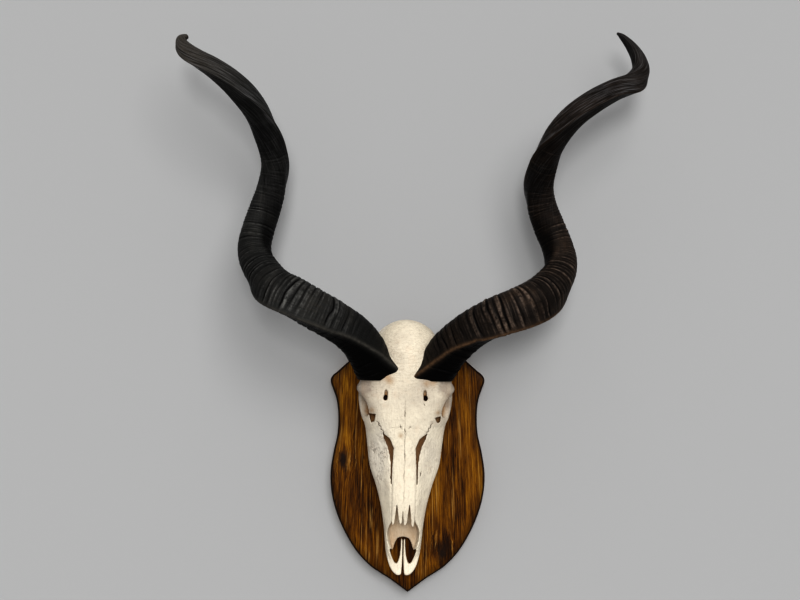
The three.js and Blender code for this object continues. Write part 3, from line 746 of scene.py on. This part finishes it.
def build_nasal_bones(material):
    field = Field(*NASAL_BOX, NASAL_STEP)
    field.join(nasal_shape(), 1)
    points, quads, normals = surface_of(field)
    x, _, z = points.T
    in_front = normals[:, 1] > 0.3
    seam = hump(nasal_seam(x, z), 0, 1.0) * in_front
    rough = noise_at(points, 0.4, 5.0)
    points -= normals * (0.5 * seam * (z < -62) + 0.14 * rough)[:, None]
    bones = add_mesh("nasal_bones", from_head(points), quads.tolist(), material)
    # The grey along the edges and on faces turned back, and the brown in the notches between the
    # prongs, are painted shade
    edge = np.clip((np.abs(x) - 14.5) / 4, 0, 1) * (z > -190)
    fading = np.clip((z + 200) / 110, 0.1, 1) * (0.6 + 0.4 * np.sin(z / 5.3))
    nowhere = np.zeros(len(points))
    add_attributes(
        bones,
        grey=0.35 * edge + 0.6 * np.clip(-normals[:, 1], 0, 1),
        stain=0.25 * np.clip((-184 - z) / 12, 0, 1) * hump(np.abs(x), 10, 3),
        deep=nowhere,
        line=0.8 * fading * (z < -58) * in_front,
        seam=np.clip(nasal_seam(x, z), -SEAM_REACH, SEAM_REACH),
        rough=nowhere,
        crown=nowhere)
    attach(bones, "root")


def seam_marks(x, z, faces_front):
    """How deep the seams are at each place, how dark, and how far the nearest one is."""
    sink = np.zeros(len(x))
    line = np.zeros(len(x))
    nearest = np.full(len(x), SEAM_REACH)
    for seam, width, depth, darkness in SEAMS:
        away = seam_distance(x, z, seam)
        sink += depth * hump(away, 0, max(width, NARROWEST_SEAM)) * faces_front
        closer = np.abs(away) < np.abs(nearest)
        nearest = np.where(closer, away, nearest)
        line = np.where(closer, darkness * hump(away, 0, SEAM_REACH * 0.55) * faces_front, line)
    return sink, line, nearest


def skull_tints(points, normals, buried, maxilla):
    """How grey, how brown and how deep brown the bone is at each point: its own tones and blotches,
    and painted shade in recesses, holes, eye sockets, under the horns and on faces turned back.
    """
    x, forward, z = points.T
    wide = np.abs(x)
    eye = spot(wide, z, 74, 15, -10, 30)
    in_nose = (wide < 26) & (z < -150) & (z > -262)
    on_bars = (wide < 9) & (z < -228) & (forward > 12)
    in_slit = (outline_distance(wide, z, np.array(NOSE_SLIT)) < 1.2) & (buried > 1.3)
    in_tear = (np.abs(wide - 50) < 8) & (np.abs(z + 37) < 10) & (buried > 1.5) & (forward > 60)
    in_hole = (np.hypot(wide - 31, z + 4.5) < 5) & (buried > 3.5)
    groove = spot(wide, z, 29.8, 3.6, 1, 7.5) * np.clip((buried - 0.4) / 1.2, 0, 1)

    # The grey is the maxilla's own greyer tone, darker bands across the forehead, between the horns
    # and on the crown, and painted shade at the brow corners, just below the horn bases, in the eye
    # sockets and on faces turned back towards the shield.
    grey = 1.8 * spot(wide, z, 66, 13, 15, 10) + 0.5 * eye
    grey += maxilla * np.where(x < 0, 0.06, 0.0) + 0.34 * hump(z, -8, 27)
    grey += 0.30 * spot(wide, z, 34, 12, 18, 12) + 0.27 * hump(z, 36, 24)
    grey += 0.12 * np.clip((z - 45) / 20, 0, 1) + 0.6 * np.clip(-normals[:, 1], 0, 1)

    blotches = sum(hump(np.hypot(x - bx, z - bz), 0, size) for bx, bz, size in BONE_BLOTCHES)
    # The brown: real pinkish blotches, and painted shade that deepens with depth in recesses, in
    # the nose, the eye sockets, the tear holes and the brow grooves
    stain = np.clip((buried - 2.5) / 7, 0, 1) * np.where(in_nose, 0.62, 1.0)
    stain *= (1 - 0.5 * eye) * ~on_bars
    stain = np.maximum(stain, 0.58 * blotches * (buried < 6))
    stain = np.maximum(stain, np.where(in_tear, 0.9, 0.28 * eye * (wide < 68)))
    stain = np.maximum(stain, groove)

    # Deep brown to black: painted shade in the holes, the slits, the tear holes, the brow grooves
    # and other deep recesses
    deep = np.clip((buried - 9) / 16, 0, 1) * ~in_nose
    deep = np.maximum(deep, 0.85 * in_slit + 1.0 * in_hole)
    deep = np.where(in_tear, 0.30, deep)
    deep = np.maximum(deep, 0.55 * groove * np.clip((5 - z) / 8, 0, 1))
    return {"grey": np.clip(grey, 0, 1), "stain": stain, "deep": deep}


def build_skull(material):
    field, whole = build_field()
    points, quads, normals = surface_of(field)
    x, _, z = points.T
    buried = -whole.sample(points)
    faces_front = np.clip(normals[:, 1] * 2.0, 0, 1) * (buried < 5)
    wobble = noise_at(points, 0.12) * 0.8
    sink, line, nearest_seam = seam_marks(x + wobble, z, faces_front)
    maxilla = spot(np.abs(x), z, 40, 16, -95, 42)
    rough = noise_at(points, 0.35, 3.0)
    pits = np.clip(noise_at(points, 0.28, 9.0) - 0.18, 0, 1) * maxilla * (x < 0)
    sink += 1.6 * pits + 0.22 * rough
    points -= normals * sink[:, None]

    skull = add_mesh("skull_bone", from_head(points), quads.tolist(), material)
    add_attributes(
        skull,
        line=line,
        seam=nearest_seam,
        rough=np.clip(1.3 * maxilla * np.where(x < 0, 1.0, 0.3), 0, 1),
        crown=np.clip((z + 10) / 40, 0, 1) * np.clip(0.55 + np.abs(x) / 50, 0, 1),
        **skull_tints(points, normals, buried, maxilla))
    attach(skull, "root")
    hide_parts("skull")


# ---- Horns ----

# Stations from base to tip: x outwards, forward, z, radius, and the front keel's bearing
# about the horn's axis in degrees
RIGHT_HORN = [
    (45, 93, 36, 30, -130), (61, 114, 66, 30.5, -100), (84, 138, 91, 29.5, -82),
    (107, 155, 108, 29.5, -63), (138, 167, 123.5, 31.5, -37), (178, 165, 140.5, 32, -17),
    (209.5, 146, 160.5, 29.5, 12), (229.5, 121, 185, 25.8, 45), (235, 101, 208, 24.8, 70),
    (229.5, 87, 234, 24.2, 98), (217, 79, 264, 24.5, 120), (205.5, 77, 295, 23.5, 140),
    (201.5, 83, 322, 22, 165), (205.5, 99, 350, 19.6, 195), (213, 121, 378, 19, 228),
    (227, 144, 404, 19.2, 262), (247, 157, 427, 18.8, 283), (276, 155, 449, 18.3, 297),
    (309.5, 142, 468.5, 17, 314), (337, 126, 481, 16.2, 350), (352, 108, 500.5, 14, 395),
    (349.5, 97, 522, 11.5, 430), (338.5, 90, 542, 8.4, 465), (324.5, 89, 557, 4.7, 492),
    (317, 90, 562, 1.6, 508),
]
LEFT_HORN = [
    (45.5, 93, 36, 30.3, -147), (60.5, 114, 68, 30.8, -114), (80.5, 133, 93, 30, -88),
    (107, 150, 111.5, 30, -71), (137, 164, 128, 31, -56), (168, 166, 145, 31.5, -37),
    (198.5, 152, 162, 29.5, -8), (218, 133, 182, 26.5, 28), (230.5, 116, 201, 26, 52),
    (235.5, 101, 223, 25.5, 72), (231, 89, 250, 25, 92), (221.5, 81, 282, 24.5, 112),
    (212.5, 77, 313, 23, 135), (208, 79, 347, 20.8, 160), (212, 88, 374, 18.9, 186),
    (221.5, 105, 403, 19, 213), (233, 124, 429, 19.6, 242), (249.5, 145, 451, 19.8, 264),
    (271.5, 157, 472, 18.2, 284), (297, 157, 490.5, 16, 305), (323, 148, 506, 14, 330),
    (340, 137, 519, 12, 354), (349, 128, 530, 9.5, 375), (350, 121, 538, 7, 392),
    (343, 114, 543, 4.2, 405),
]
HORN_LEAN = math.radians(30)
# The height that the base of a horn is cut off at
HORN_RIM = 22.5
# How far along the horn the rings are full, where they start and where they end
RINGED_LENGTH = 540.0
FIRST_RING, RINGS_END = 9.0, RINGED_LENGTH + 70
PATH_POINTS = 4000
# The lip at the front of the base: how far it's drawn down, its length, and its width in
# radians
FLAP_DROP, FLAP_LENGTH, FLAP_WIDTH = 9.5, 34.0, 0.42

# A horn's colours: its dark ground, the tops of its rings, lighter partly as a painted highlight on
# the crests, brown patches, its keel and tip
DARK_HORN = [
    (0.024, 0.024, 0.023), (0.165, 0.162, 0.152), (0.032, 0.029, 0.025), (0.055, 0.051, 0.044),
    (0.095, 0.082, 0.068),
]
BROWN_HORN = [
    (0.019, 0.0145, 0.012), (0.240, 0.180, 0.140), (0.040, 0.026, 0.017), (0.100, 0.060, 0.034),
    (0.020, 0.018, 0.017),
]
HORN_BLACK = (0.006, 0.0055, 0.005)
HORN_DIM = (0.004, 0.0038, 0.0036)
# Near black in the ring grooves: painted shade
HORN_GROOVE = (0.0015, 0.0013, 0.0012)
# Light grey streaks on the upper horn: partly painted highlight
HORN_RIBBON = (0.118, 0.115, 0.117)
HORN_SHADOW = (0.0012, 0.0010, 0.0010)


def wrapped(angle):
    return np.arctan2(np.sin(angle), np.cos(angle))


def keeled(angle):
    """The horn's cross-section as a share of its radius, by angle from the front keel."""
    return (
        1
        + 0.16 * hump(wrapped(angle), 0, 0.24)
        - 0.08 * hump(wrapped(angle - 0.75), 0, 0.4)
        - 0.04 * hump(wrapped(angle + 0.75), 0, 0.4)
        + 0.06 * hump(wrapped(angle - 2.88), 0, 0.3)
    )


def ring_heights(along, angle, seed):
    """How far the growth rings stand out, in mm: uneven ridges between narrow grooves."""
    random = np.random.default_rng(seed)
    height = np.zeros_like(along)
    place = FIRST_RING
    while place < RINGS_END:
        fade = np.clip((RINGS_END - place) / 330, 0, 1)
        bend = 0.0
        for k in (1, 2, 3, 5, 8):
            size = random.uniform(0.4, 2.4) / k
            bend += size * np.sin(k * angle + random.uniform(0, 2 * math.pi))
        closeness = 1 - 0.5 * np.clip((place - 150) / 90, 0, 1)
        strength = random.uniform(0.3, 1.0) ** 1.3 * fade * closeness**0.6
        turn = random.uniform(0, 2 * math.pi)
        uneven = 0.58 + 0.42 * np.cos(angle - turn)
        step = along + bend * closeness - place
        width = random.uniform(1.7, 4.2) * closeness
        ridge = 1.35 * hump(step, 0, width) - 2.1 * hump(step, width + 1.1, 1.15)
        height += strength * uneven * ridge
        place += random.uniform(4.5, 12.5) * closeness
    fade = np.clip((RINGED_LENGTH - 10 - along) / 160, 0, 1)
    drift = 2.5 * np.sin(along / 37 + seed) + 1.6 * np.sin(angle + 1) + 1.1 * np.sin(2 * angle)
    patchy = 0.5 + 0.5 * np.sin(along / 29 + 2 * np.sin(angle) + seed)
    height += 0.26 * fade * patchy * np.sin((along + drift) / 3.9 * 2 * math.pi)
    height += 0.12 * fade * np.sin((along - drift) / 2.6 * 2 * math.pi + 2 * np.cos(angle))
    return height


def horn_axis(stations, side):
    """Along a horn: distances in mm, points, radii, and the ways to the keel and across it."""
    stations = np.array(stations, float)
    centres = stations[:, :3] * (side, -1, 1)
    dense = np.linspace(0, len(stations) - 1, PATH_POINTS)
    steps = np.linalg.norm(np.diff(spline(centres, dense), axis=0), axis=1)
    lengths = np.concatenate([[0], np.cumsum(steps)])
    ringed = np.arange(0, RINGS_END, HORN_STEP_RINGED)
    smooth = np.arange(ringed[-1] + HORN_STEP_SMOOTH, lengths[-1], HORN_STEP_SMOOTH)
    along = np.concatenate([ringed, smooth, [lengths[-1]]])
    places = np.interp(along, lengths, dense)
    tangent = spline(centres, np.minimum(places + 0.01, dense[-1]))
    tangent -= spline(centres, np.maximum(places - 0.01, 0))
    tangent /= np.linalg.norm(tangent, axis=1, keepdims=True)
    girth = spline(np.column_stack([stations[:, 3], np.radians(stations[:, 4])]), places)
    radius, bearing = girth.T

    outward = np.array([side * math.cos(HORN_LEAN), 0, -math.sin(HORN_LEAN)])
    keel = np.outer(np.cos(bearing), outward) + np.outer(np.sin(bearing), (0, 1, 0))
    keel -= tangent * np.sum(keel * tangent, axis=1, keepdims=True)
    keel /= np.linalg.norm(keel, axis=1, keepdims=True)
    return along, spline(centres, places), radius, keel, np.cross(tangent, keel)


def build_horn(name, node, stations, side, flare, seed, slot, colours):
    """A horn on side 1 or -1, with the lip of its base flared out by some mm."""
    along, point, radius, keel, across = horn_axis(stations, side)
    length = along[-1]
    even = np.linspace(0, 2 * math.pi, HORN_COLUMNS, endpoint=False)
    angle = (even - 0.5 * np.sin(even))[None, :] * np.ones((len(along), 1))
    run = along[:, None] * np.ones_like(angle)
    off_keel = wrapped(angle)
    flap = np.maximum(0, 1 - run / FLAP_LENGTH) ** 2 * hump(off_keel, 0, FLAP_WIDTH)
    rings = ring_heights(run, side * angle, seed)
    rings *= (1 - 0.8 * hump(off_keel, 0, 0.2)) * np.clip(run / 12, 0.2, 1)
    tip_fade = np.clip((length - run) / 60, 0, 1)
    crest = 0.9 * hump(off_keel, 0, 0.07) * tip_fade
    reach = radius[:, None] * keeled(side * angle) + rings + crest + flare * flap
    ray = np.cos(angle)[..., None] * keel[:, None] + np.sin(angle)[..., None] * across[:, None]
    shape = point[:, None] + ray * reach[..., None]
    shape += FLAP_DROP * flap[..., None] * np.array([-0.5 * side, 0, -0.85])
    below_rim = (shape[..., 2] < HORN_RIM) & (run < 80)
    shape[..., 2] = np.where(below_rim, HORN_RIM, shape[..., 2])

    flat = shape.reshape(-1, 3) * (1, -1, 1)
    material = horn_material(slot, *colours)
    horn = add_mesh(name, from_head(flat), tube_faces(*angle.shape), material)
    add_attributes(
        horn,
        along=run * MM,
        ring=rings,
        keel=hump(off_keel, 0, 0.085),
        under=np.clip(np.sin(side * angle) * 3, 0, 1),
        tip=np.clip((run / length - 0.80) / 0.2, 0, 1),
        turn_a=np.cos(angle),
        turn_b=np.sin(angle))
    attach(horn, "root")
    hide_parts(node)


def horn_material(name, ground, ring_top, brown, keel_colour, tip_colour):
    material, tree = new_material(name)
    place = object_place(tree)
    along, ring, keel, tip, under, turn_a, turn_b = read_attributes(
        tree, "along", "ring", "keel", "tip", "under", "turn_a", "turn_b")
    striae = combined(along * 9.0, turn_a * 7.0, turn_b * 7.0).noise(2.6, 5.0, 0.6)
    broad = place.noise(13.0, 3.0, 0.6)
    cloud = place.noise(26.0)
    flakes = place.noise(170.0, 5.0, 0.65)
    grain = place.noise(900.0, 3.0, 0.6)

    grown = along.remap(0.07, 0.19, 0.28, 1.0)
    upper = along.remap(0.34, 0.60)
    # Lighter ring tops: partly a painted highlight on the crests
    tops = ring.remap(0.05, 0.95) * flakes.remap(0.36, 0.60) * grown
    patches = cloud.remap(0.45, 0.66) * striae.remap(0.35, 0.62) * along.remap(0.36, 0.58, 0.8, 0.2)
    dim = broad.remap(0.40, 0.54, 0.5, 0.0) * grown
    # Darker ring grooves: painted shade
    grooves = ring.remap(-0.9, -0.15, 0.9, 0.0)
    worn = tip * striae.remap(0.3, 0.7, 0.35, 1.0)
    # Light streaks on the upper horn: partly painted highlight
    ribbon = striae.remap(0.52, 0.66, 0.0, 0.75) * upper
    darker = striae.remap(0.38, 0.50, 0.85, 0.0) * upper
    shadowed = under * along.remap(0.22, 0.42, 0.95, 0.5)
    edge = keel * flakes.remap(0.3, 0.6, 0.2, 0.95) * along.remap(0.24, 0.36, 1.0, 0.12)
    colour = painted(
        ground, (tops, ring_top), (patches, brown), ((1.0 - grown) * 0.8, HORN_BLACK),
        (dim, HORN_DIM), (grooves, HORN_GROOVE), (worn, tip_colour), (ribbon, HORN_RIBBON),
        (darker, HORN_BLACK), (shadowed, HORN_SHADOW), (edge, keel_colour))
    relief = striae * 1.4 + flakes + grain * 0.3
    finish_material(tree, colour, flakes.remap(0.3, 0.7, 0.34, 0.58), relief, 0.0007, 0.05)
    return material


# ---- Shield ----

SHIELD_SIDE = [
    (119, 130), (112.5, 110), (110, 84), (111.5, 56), (118, 26), (122.5, -8), (119.5, -44),
    (107, -84), (83.5, -127), (60, -153), (40, -167),
]
# The edge's profile from the back face to the front: distance forward, and inwards
SHIELD_EDGE = [
    (0, 1.4), (0.3, 0.7), (1, 0), (17.6, 0), (18.9, 0.25), (19.8, 0.9), (20.2, 1.5), (20.5, 1.6),
    (21.2, 1.8), (21.8, 2.3), (22, 3.0),
]
FRONT_RINGS = 12
KNOTS = [(-102.5, 14.9), (54.7, -132.8)]
KNOT_STRETCH = 1 / 0.45
# Darker patches in the wood: x, z, half width and half height. The one at x 68, right of the skull,
# is a painted shadow of the skull; the others are darker wood.
WOOD_PATCHES_AND_SHADOW = [(-88, 26, 17, 24), (68, 60, 12, 60), (48, -128, 20, 16), (-70, -70, 12, 50)]
# Room in the back. A pocket has its place in x and z, and rings of depth, half width, half
# height and corner radius. A screw's hole has a profile of depth and radius.
PLATE_POCKET = (0, 118.0), [(-1, 12.4, 30.4, 5.0), (2.7, 12.4, 30.4, 5.0)]
NAIL_POCKET = (0, 117.0), [(-1, 8.0, 15.0, 1.0), (9.0, 8.0, 15.0, 1.0)]
PLATE_SCREWS = [(0, 94.0), (0, 142.0)]
PLATE_SCREW_HOLE = [(-1, 1.9), (15.3, 1.9)]
SKULL_SCREWS = [(-2.87, 162.8), (-5.2, 13.0)]
SKULL_SCREW_HOLE = [(-1, 4.8), (0.6, 4.8), (3.4, 2.4), (12, 2.4)]
CUTTER_SIDES = 32

WOOD_STAIN = [
    (0.37, (0.013, 0.0040, 0.0002)), (0.45, (0.042, 0.0135, 0.0004)),
    (0.53, (0.097, 0.036, 0.0009)), (0.61, (0.165, 0.068, 0.0024)), (0.72, (0.32, 0.165, 0.013)),
]
WOOD_BARE = [(0.38, (0.22, 0.115, 0.045)), (0.62, (0.47, 0.30, 0.145))]
WOOD_SCRATCH = (0.30, 0.170, 0.045)
WOOD_KNOT = (0.012, 0.005, 0.002)
WOOD_EDGE = (0.010, 0.005, 0.003)


def bezier(corners, count):
    """Points along a Bezier curve of any degree, with its last point left out."""
    t = np.linspace(0, 1, count, endpoint=False)[:, None]
    degree = len(corners) - 1
    return sum(
        math.comb(degree, k) * t**k * (1 - t) ** (degree - k) * np.array(corner, float)
        for k, corner in enumerate(corners))


def shield_outline():
    side = spline(SHIELD_SIDE, np.linspace(0, len(SHIELD_SIDE) - 1, 90))
    half = np.vstack([
        bezier([(0, 203), (40, 202), (70, 193)], 20),
        bezier([(70, 193), (112, 155)], 12),
        bezier([(112, 155), (124, 147), (124, 141), (119, 130)], 12),
        side[:-1],
        bezier([(40, -167), (28, -173), (8.5, -189.5), (0, -195)], 20),
        [(0, -195)],
    ])
    return np.vstack([half, (half[1:-1] * (-1, 1))[::-1]])[::-1]


def inset(outline, distance):
    """The outline drawn in by a distance."""
    along = np.roll(outline, -1, axis=0) - np.roll(outline, 1, axis=0)
    along /= np.linalg.norm(along, axis=1, keepdims=True)
    return outline + distance * np.column_stack([-along[:, 1], along[:, 0]])


def wood_material():
    material, tree = new_material("stained_wood")
    place = object_place(tree)
    parts = add_node(tree, "ShaderNodeSeparateXYZ", {0: place})
    x, y, z = (Value(parts, axis) for axis in range(3))

    def distance_from(centre_x, centre_z, half_width, half_height):
        """The distance from a centre, as a share of the oval round it."""
        across = (x - centre_x * MM) * (1 / (half_width * MM))
        up = (z - centre_z * MM) * (1 / (half_height * MM))
        return calculate("SQRT", across * across + up * up)

    def along_grain(per_x, per_y, per_z):
        """The place bent round the knots, in cycles, for noise drawn out along the grain."""
        return combined(bent * per_x, y * per_y, z * per_z)

    ragged = place.noise(90.0)
    bent = x * (z * 0.45 + 1.0)
    near_knots = 0.0
    for knot_x, knot_z in KNOTS:
        away = distance_from(knot_x, knot_z, 1.0, KNOT_STRETCH) + (ragged - 0.5) * 14.0
        bent = bent - (x - knot_x * MM) * away.remap(0.0, 22.0, 0.8, 0.0)
        near_knots = near_knots + away.remap(3.0, 10.0, 1.0, 0.0)
    grain = along_grain(130.0, 60.0, 5.0)
    bands = grain.noise(1.0, 4.0, 0.62, 0.5)
    veins = grain.noise(1.6, 2.0, 0.5, 0.4)
    lines = grain.noise(4.2, 6.0, 0.78, 0.2)
    fibres = along_grain(900.0, 300.0, 26.0).noise(1.0)
    scratches = along_grain(95.0, 60.0, 1.7).noise(1.0, 2.0, 0.5)
    blotches = place.stretched(26.0, 20.0, 8.0).noise(1.0) - 0.5
    breaks = place.stretched(110.0, 60.0, 14.0).noise(1.0, 3.0, 0.6)

    even_value = lines * 0.56 + bands * 0.34 + 0.076
    value = even_value + blotches * 0.46 + (fibres - 0.5) * 0.36
    # Darken the patches: darker wood, and a painted shadow of the skull right of it
    for patch in WOOD_PATCHES_AND_SHADOW:
        away = distance_from(*patch) + blotches * 2.0
        value = value + away.remap(0.3, 1.3, -0.085, 0.0)
    value = value + abs(veins - 0.5).remap(0.0, 0.03, -0.11, 0.0) + z.remap(0.03, 0.17, 0.0, 0.045)
    scratched = abs(scratches - 0.5).remap(0.008, 0.026, 0.75, 0.0) * breaks.remap(0.47, 0.60)
    edge, back = read_attributes(tree, "edge", "back")
    colour = painted(
        value.ramp(WOOD_STAIN), (scratched, WOOD_SCRATCH), (near_knots, WOOD_KNOT),
        (edge, WOOD_EDGE), (back, even_value.ramp(WOOD_BARE)))
    roughness = fibres.remap(0.3, 0.7, 0.34, 0.5)
    finish_material(tree, colour, roughness, fibres * 0.5 + lines, 0.0006, 0.07)
    return material


def pocket_cutter(place, rings):
    """A closed cutter with round corners, from rings of depth, half sizes and corner radius."""
    turn = np.linspace(0, 2 * math.pi, CUTTER_SIDES, endpoint=False)
    side, end = np.sign(np.cos(turn + 1e-6)), np.sign(np.sin(turn + 1e-6))
    x, z = place
    return np.array([
        np.column_stack([
            x + side * (half_width - corner) + corner * np.cos(turn),
            np.full(CUTTER_SIDES, -depth),
            z + end * (half_height - corner) + corner * np.sin(turn)])
        for depth, half_width, half_height, corner in rings])


def screw_cutters(places, profile):
    """Round cutters, from a profile of depth and radius."""
    return [
        pocket_cutter(place, [(depth, radius, radius, radius) for depth, radius in profile])
        for place in places]


def cut_pockets(shield):
    """Cut the room for the hanger, its nail and the screws out of the shield's back."""
    cutters = [
        pocket_cutter(*PLATE_POCKET),
        pocket_cutter(*NAIL_POCKET),
        *screw_cutters(PLATE_SCREWS, PLATE_SCREW_HOLE),
        *screw_cutters(SKULL_SCREWS, SKULL_SCREW_HOLE)]
    made = []
    for rings in cutters:
        cutter = add_mesh("cutter", rings.reshape(-1, 3) * MM, tube_faces(*rings.shape[:2]), None)
        cut = shield.modifiers.new("pocket", "BOOLEAN")
        cut.object, cut.operation, cut.solver = cutter, "DIFFERENCE", "EXACT"
        made.append(cutter)
    graph = bpy.context.evaluated_depsgraph_get()
    shield.data = bpy.data.meshes.new_from_object(shield.evaluated_get(graph))
    shield.modifiers.clear()
    shield.data.set_sharp_from_angle(angle=math.radians(50))
    for cutter in made:
        bpy.data.objects.remove(cutter)


def build_shield():
    outline = shield_outline()
    rings = [inset(outline, drawn_in) for _, drawn_in in SHIELD_EDGE]
    for share in np.linspace(0, 1, FRONT_RINGS + 2)[1:-1]:
        rings.append(rings[len(SHIELD_EDGE) - 1] * (1 - share))
    fronts = [forward for forward, _ in SHIELD_EDGE] + [SHIELD_THICKNESS] * FRONT_RINGS
    points = np.array([
        [(x, -forward, z) for x, z in ring] for ring, forward in zip(rings, fronts)]) * MM
    shield = add_mesh("shield_board", points.reshape(-1, 3),
                      tube_faces(*points.shape[:2]), wood_material())
    cut_pockets(shield)
    x, y, z = np.array([vertex.co for vertex in shield.data.vertices]).T / MM
    drawn = -outline_distance(x, z, outline)
    add_attributes(
        shield,
        edge=np.clip((-y - 17) / 2, 0, 1) * np.clip((3.6 - drawn) / 1.2, 0, 1),
        back=-y < np.where(drawn > 4, 21, 0.2))
    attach(shield, "root")
    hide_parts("shield")


# ---- Setting ----

WALL_SHADE, FLOOR_SHADE, WORLD_LIGHT = 0.306, 0.55, 0.31
WALL_GAP, FLOOR_DROP, STAGE_REACH = 0.004, -0.62, 4.0
# Suns: name, the way their light goes, strength and spread in degrees
SUNS = [
    ("key", (-0.24, 1.0, -0.44), 1.5, 34),
    ("front", (0.0, 1.0, -0.16), 1.2, 14),
    ("top", (0.05, 0.5, -1.0), 0.5, 50),
    ("behind", (0.25, -1.0, -0.15), 0.7, 30),
]
STEEL = [(0.35, (0.42, 0.42, 0.43)), (0.65, (0.62, 0.62, 0.61))]
STEEL_NODES = [
    "hanger_plate", "hanger_screw_upper", "hanger_screw_lower", "skull_screw_upper",
    "skull_screw_lower",
]


def steel_material():
    material, tree = new_material("steel")
    scratches = object_place(tree).stretched(900.0, 900.0, 90.0).noise(1.0)
    roughness = scratches.remap(0.3, 0.7, 0.28, 0.45)
    finish_material(tree, scratches.ramp(STEEL), roughness, scratches, 0.0001, metallic=1.0)
    return material


def plain_material(name, shade, one_sided=False):
    """A matt grey, which is clear from behind if it's one-sided."""
    material, tree = new_material(name)
    shader = Value(add_node(tree, "ShaderNodeBsdfDiffuse", {"Color": (shade, shade, shade)}))
    if one_sided:
        clear = Value(add_node(tree, "ShaderNodeBsdfTransparent"))
        behind = Value(add_node(tree, "ShaderNodeNewGeometry"), "Backfacing")
        shader = Value(add_node(tree, "ShaderNodeMixShader", {0: behind, 1: shader, 2: clear}))
    show_surface(shader)
    return material


def add_stage_plane(name, corners, material):
    plane = add_mesh(name, corners, [[0, 1, 2, 3]], material)
    return plane


def add_sun(name, direction, strength, spread):
    """Light from far away, that travels along a direction."""
    data = bpy.data.lights.new(name, "SUN")
    data.energy = strength
    data.angle = math.radians(spread)
    lamp = add_object(name, data)
    lamp.rotation_mode = "QUATERNION"
    lamp.rotation_quaternion = Vector(direction).to_track_quat("-Z", "Y")


def build_setting():
    low, high = FLOOR_DROP, STAGE_REACH
    sides = [(-high, -high), (high, -high), (high, high), (-high, high)]
    wall = add_stage_plane("wall", [(x, WALL_GAP, max(z, low)) for x, z in sides],
                           plain_material("wall", WALL_SHADE, one_sided=True))
    wall.visible_diffuse = False
    wall.visible_shadow = False
    add_stage_plane("floor", [(x, y, low) for x, y in sides],
                    plain_material("floor", FLOOR_SHADE))
    for sun in SUNS:
        add_sun(*sun)

    world = bpy.data.worlds.new("studio")
    world.use_nodes = True
    background = world.node_tree.nodes["Background"]
    background.inputs["Color"].default_value = (1.0, 1.0, 1.0, 1.0)
    background.inputs["Strength"].default_value = WORLD_LIGHT
    bpy.context.scene.world = world
    bpy.context.scene.view_settings.view_transform = "Standard"
    bpy.context.scene.view_settings.look = "High Contrast"

    data = bpy.data.cameras.new("camera")
    data.sensor_width = CAMERA_SENSOR
    data.lens = CAMERA_LENS
    camera = add_object("camera", data)
    camera.location = Vector((CAMERA_X, -CAMERA_DISTANCE, CAMERA_Z)) * MM
    camera.rotation_euler = (math.radians(90), 0, 0)
    bpy.context.scene.camera = camera


def use_material(node, material):
    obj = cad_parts[node]
    obj.data.materials.clear()
    obj.data.materials.append(material)


build_setting()
bone = bone_material()
build_skull(bone)
build_nasal_bones(bone)
build_horn("left_horn", "horn_left", LEFT_HORN, -1, 9, 4, "dark_horn", DARK_HORN)
build_horn("right_horn", "horn_right", RIGHT_HORN, 1, 3, 11, "brown_horn", BROWN_HORN)
build_shield()
steel = steel_material()
for name in STEEL_NODES:
    use_material(name, steel)
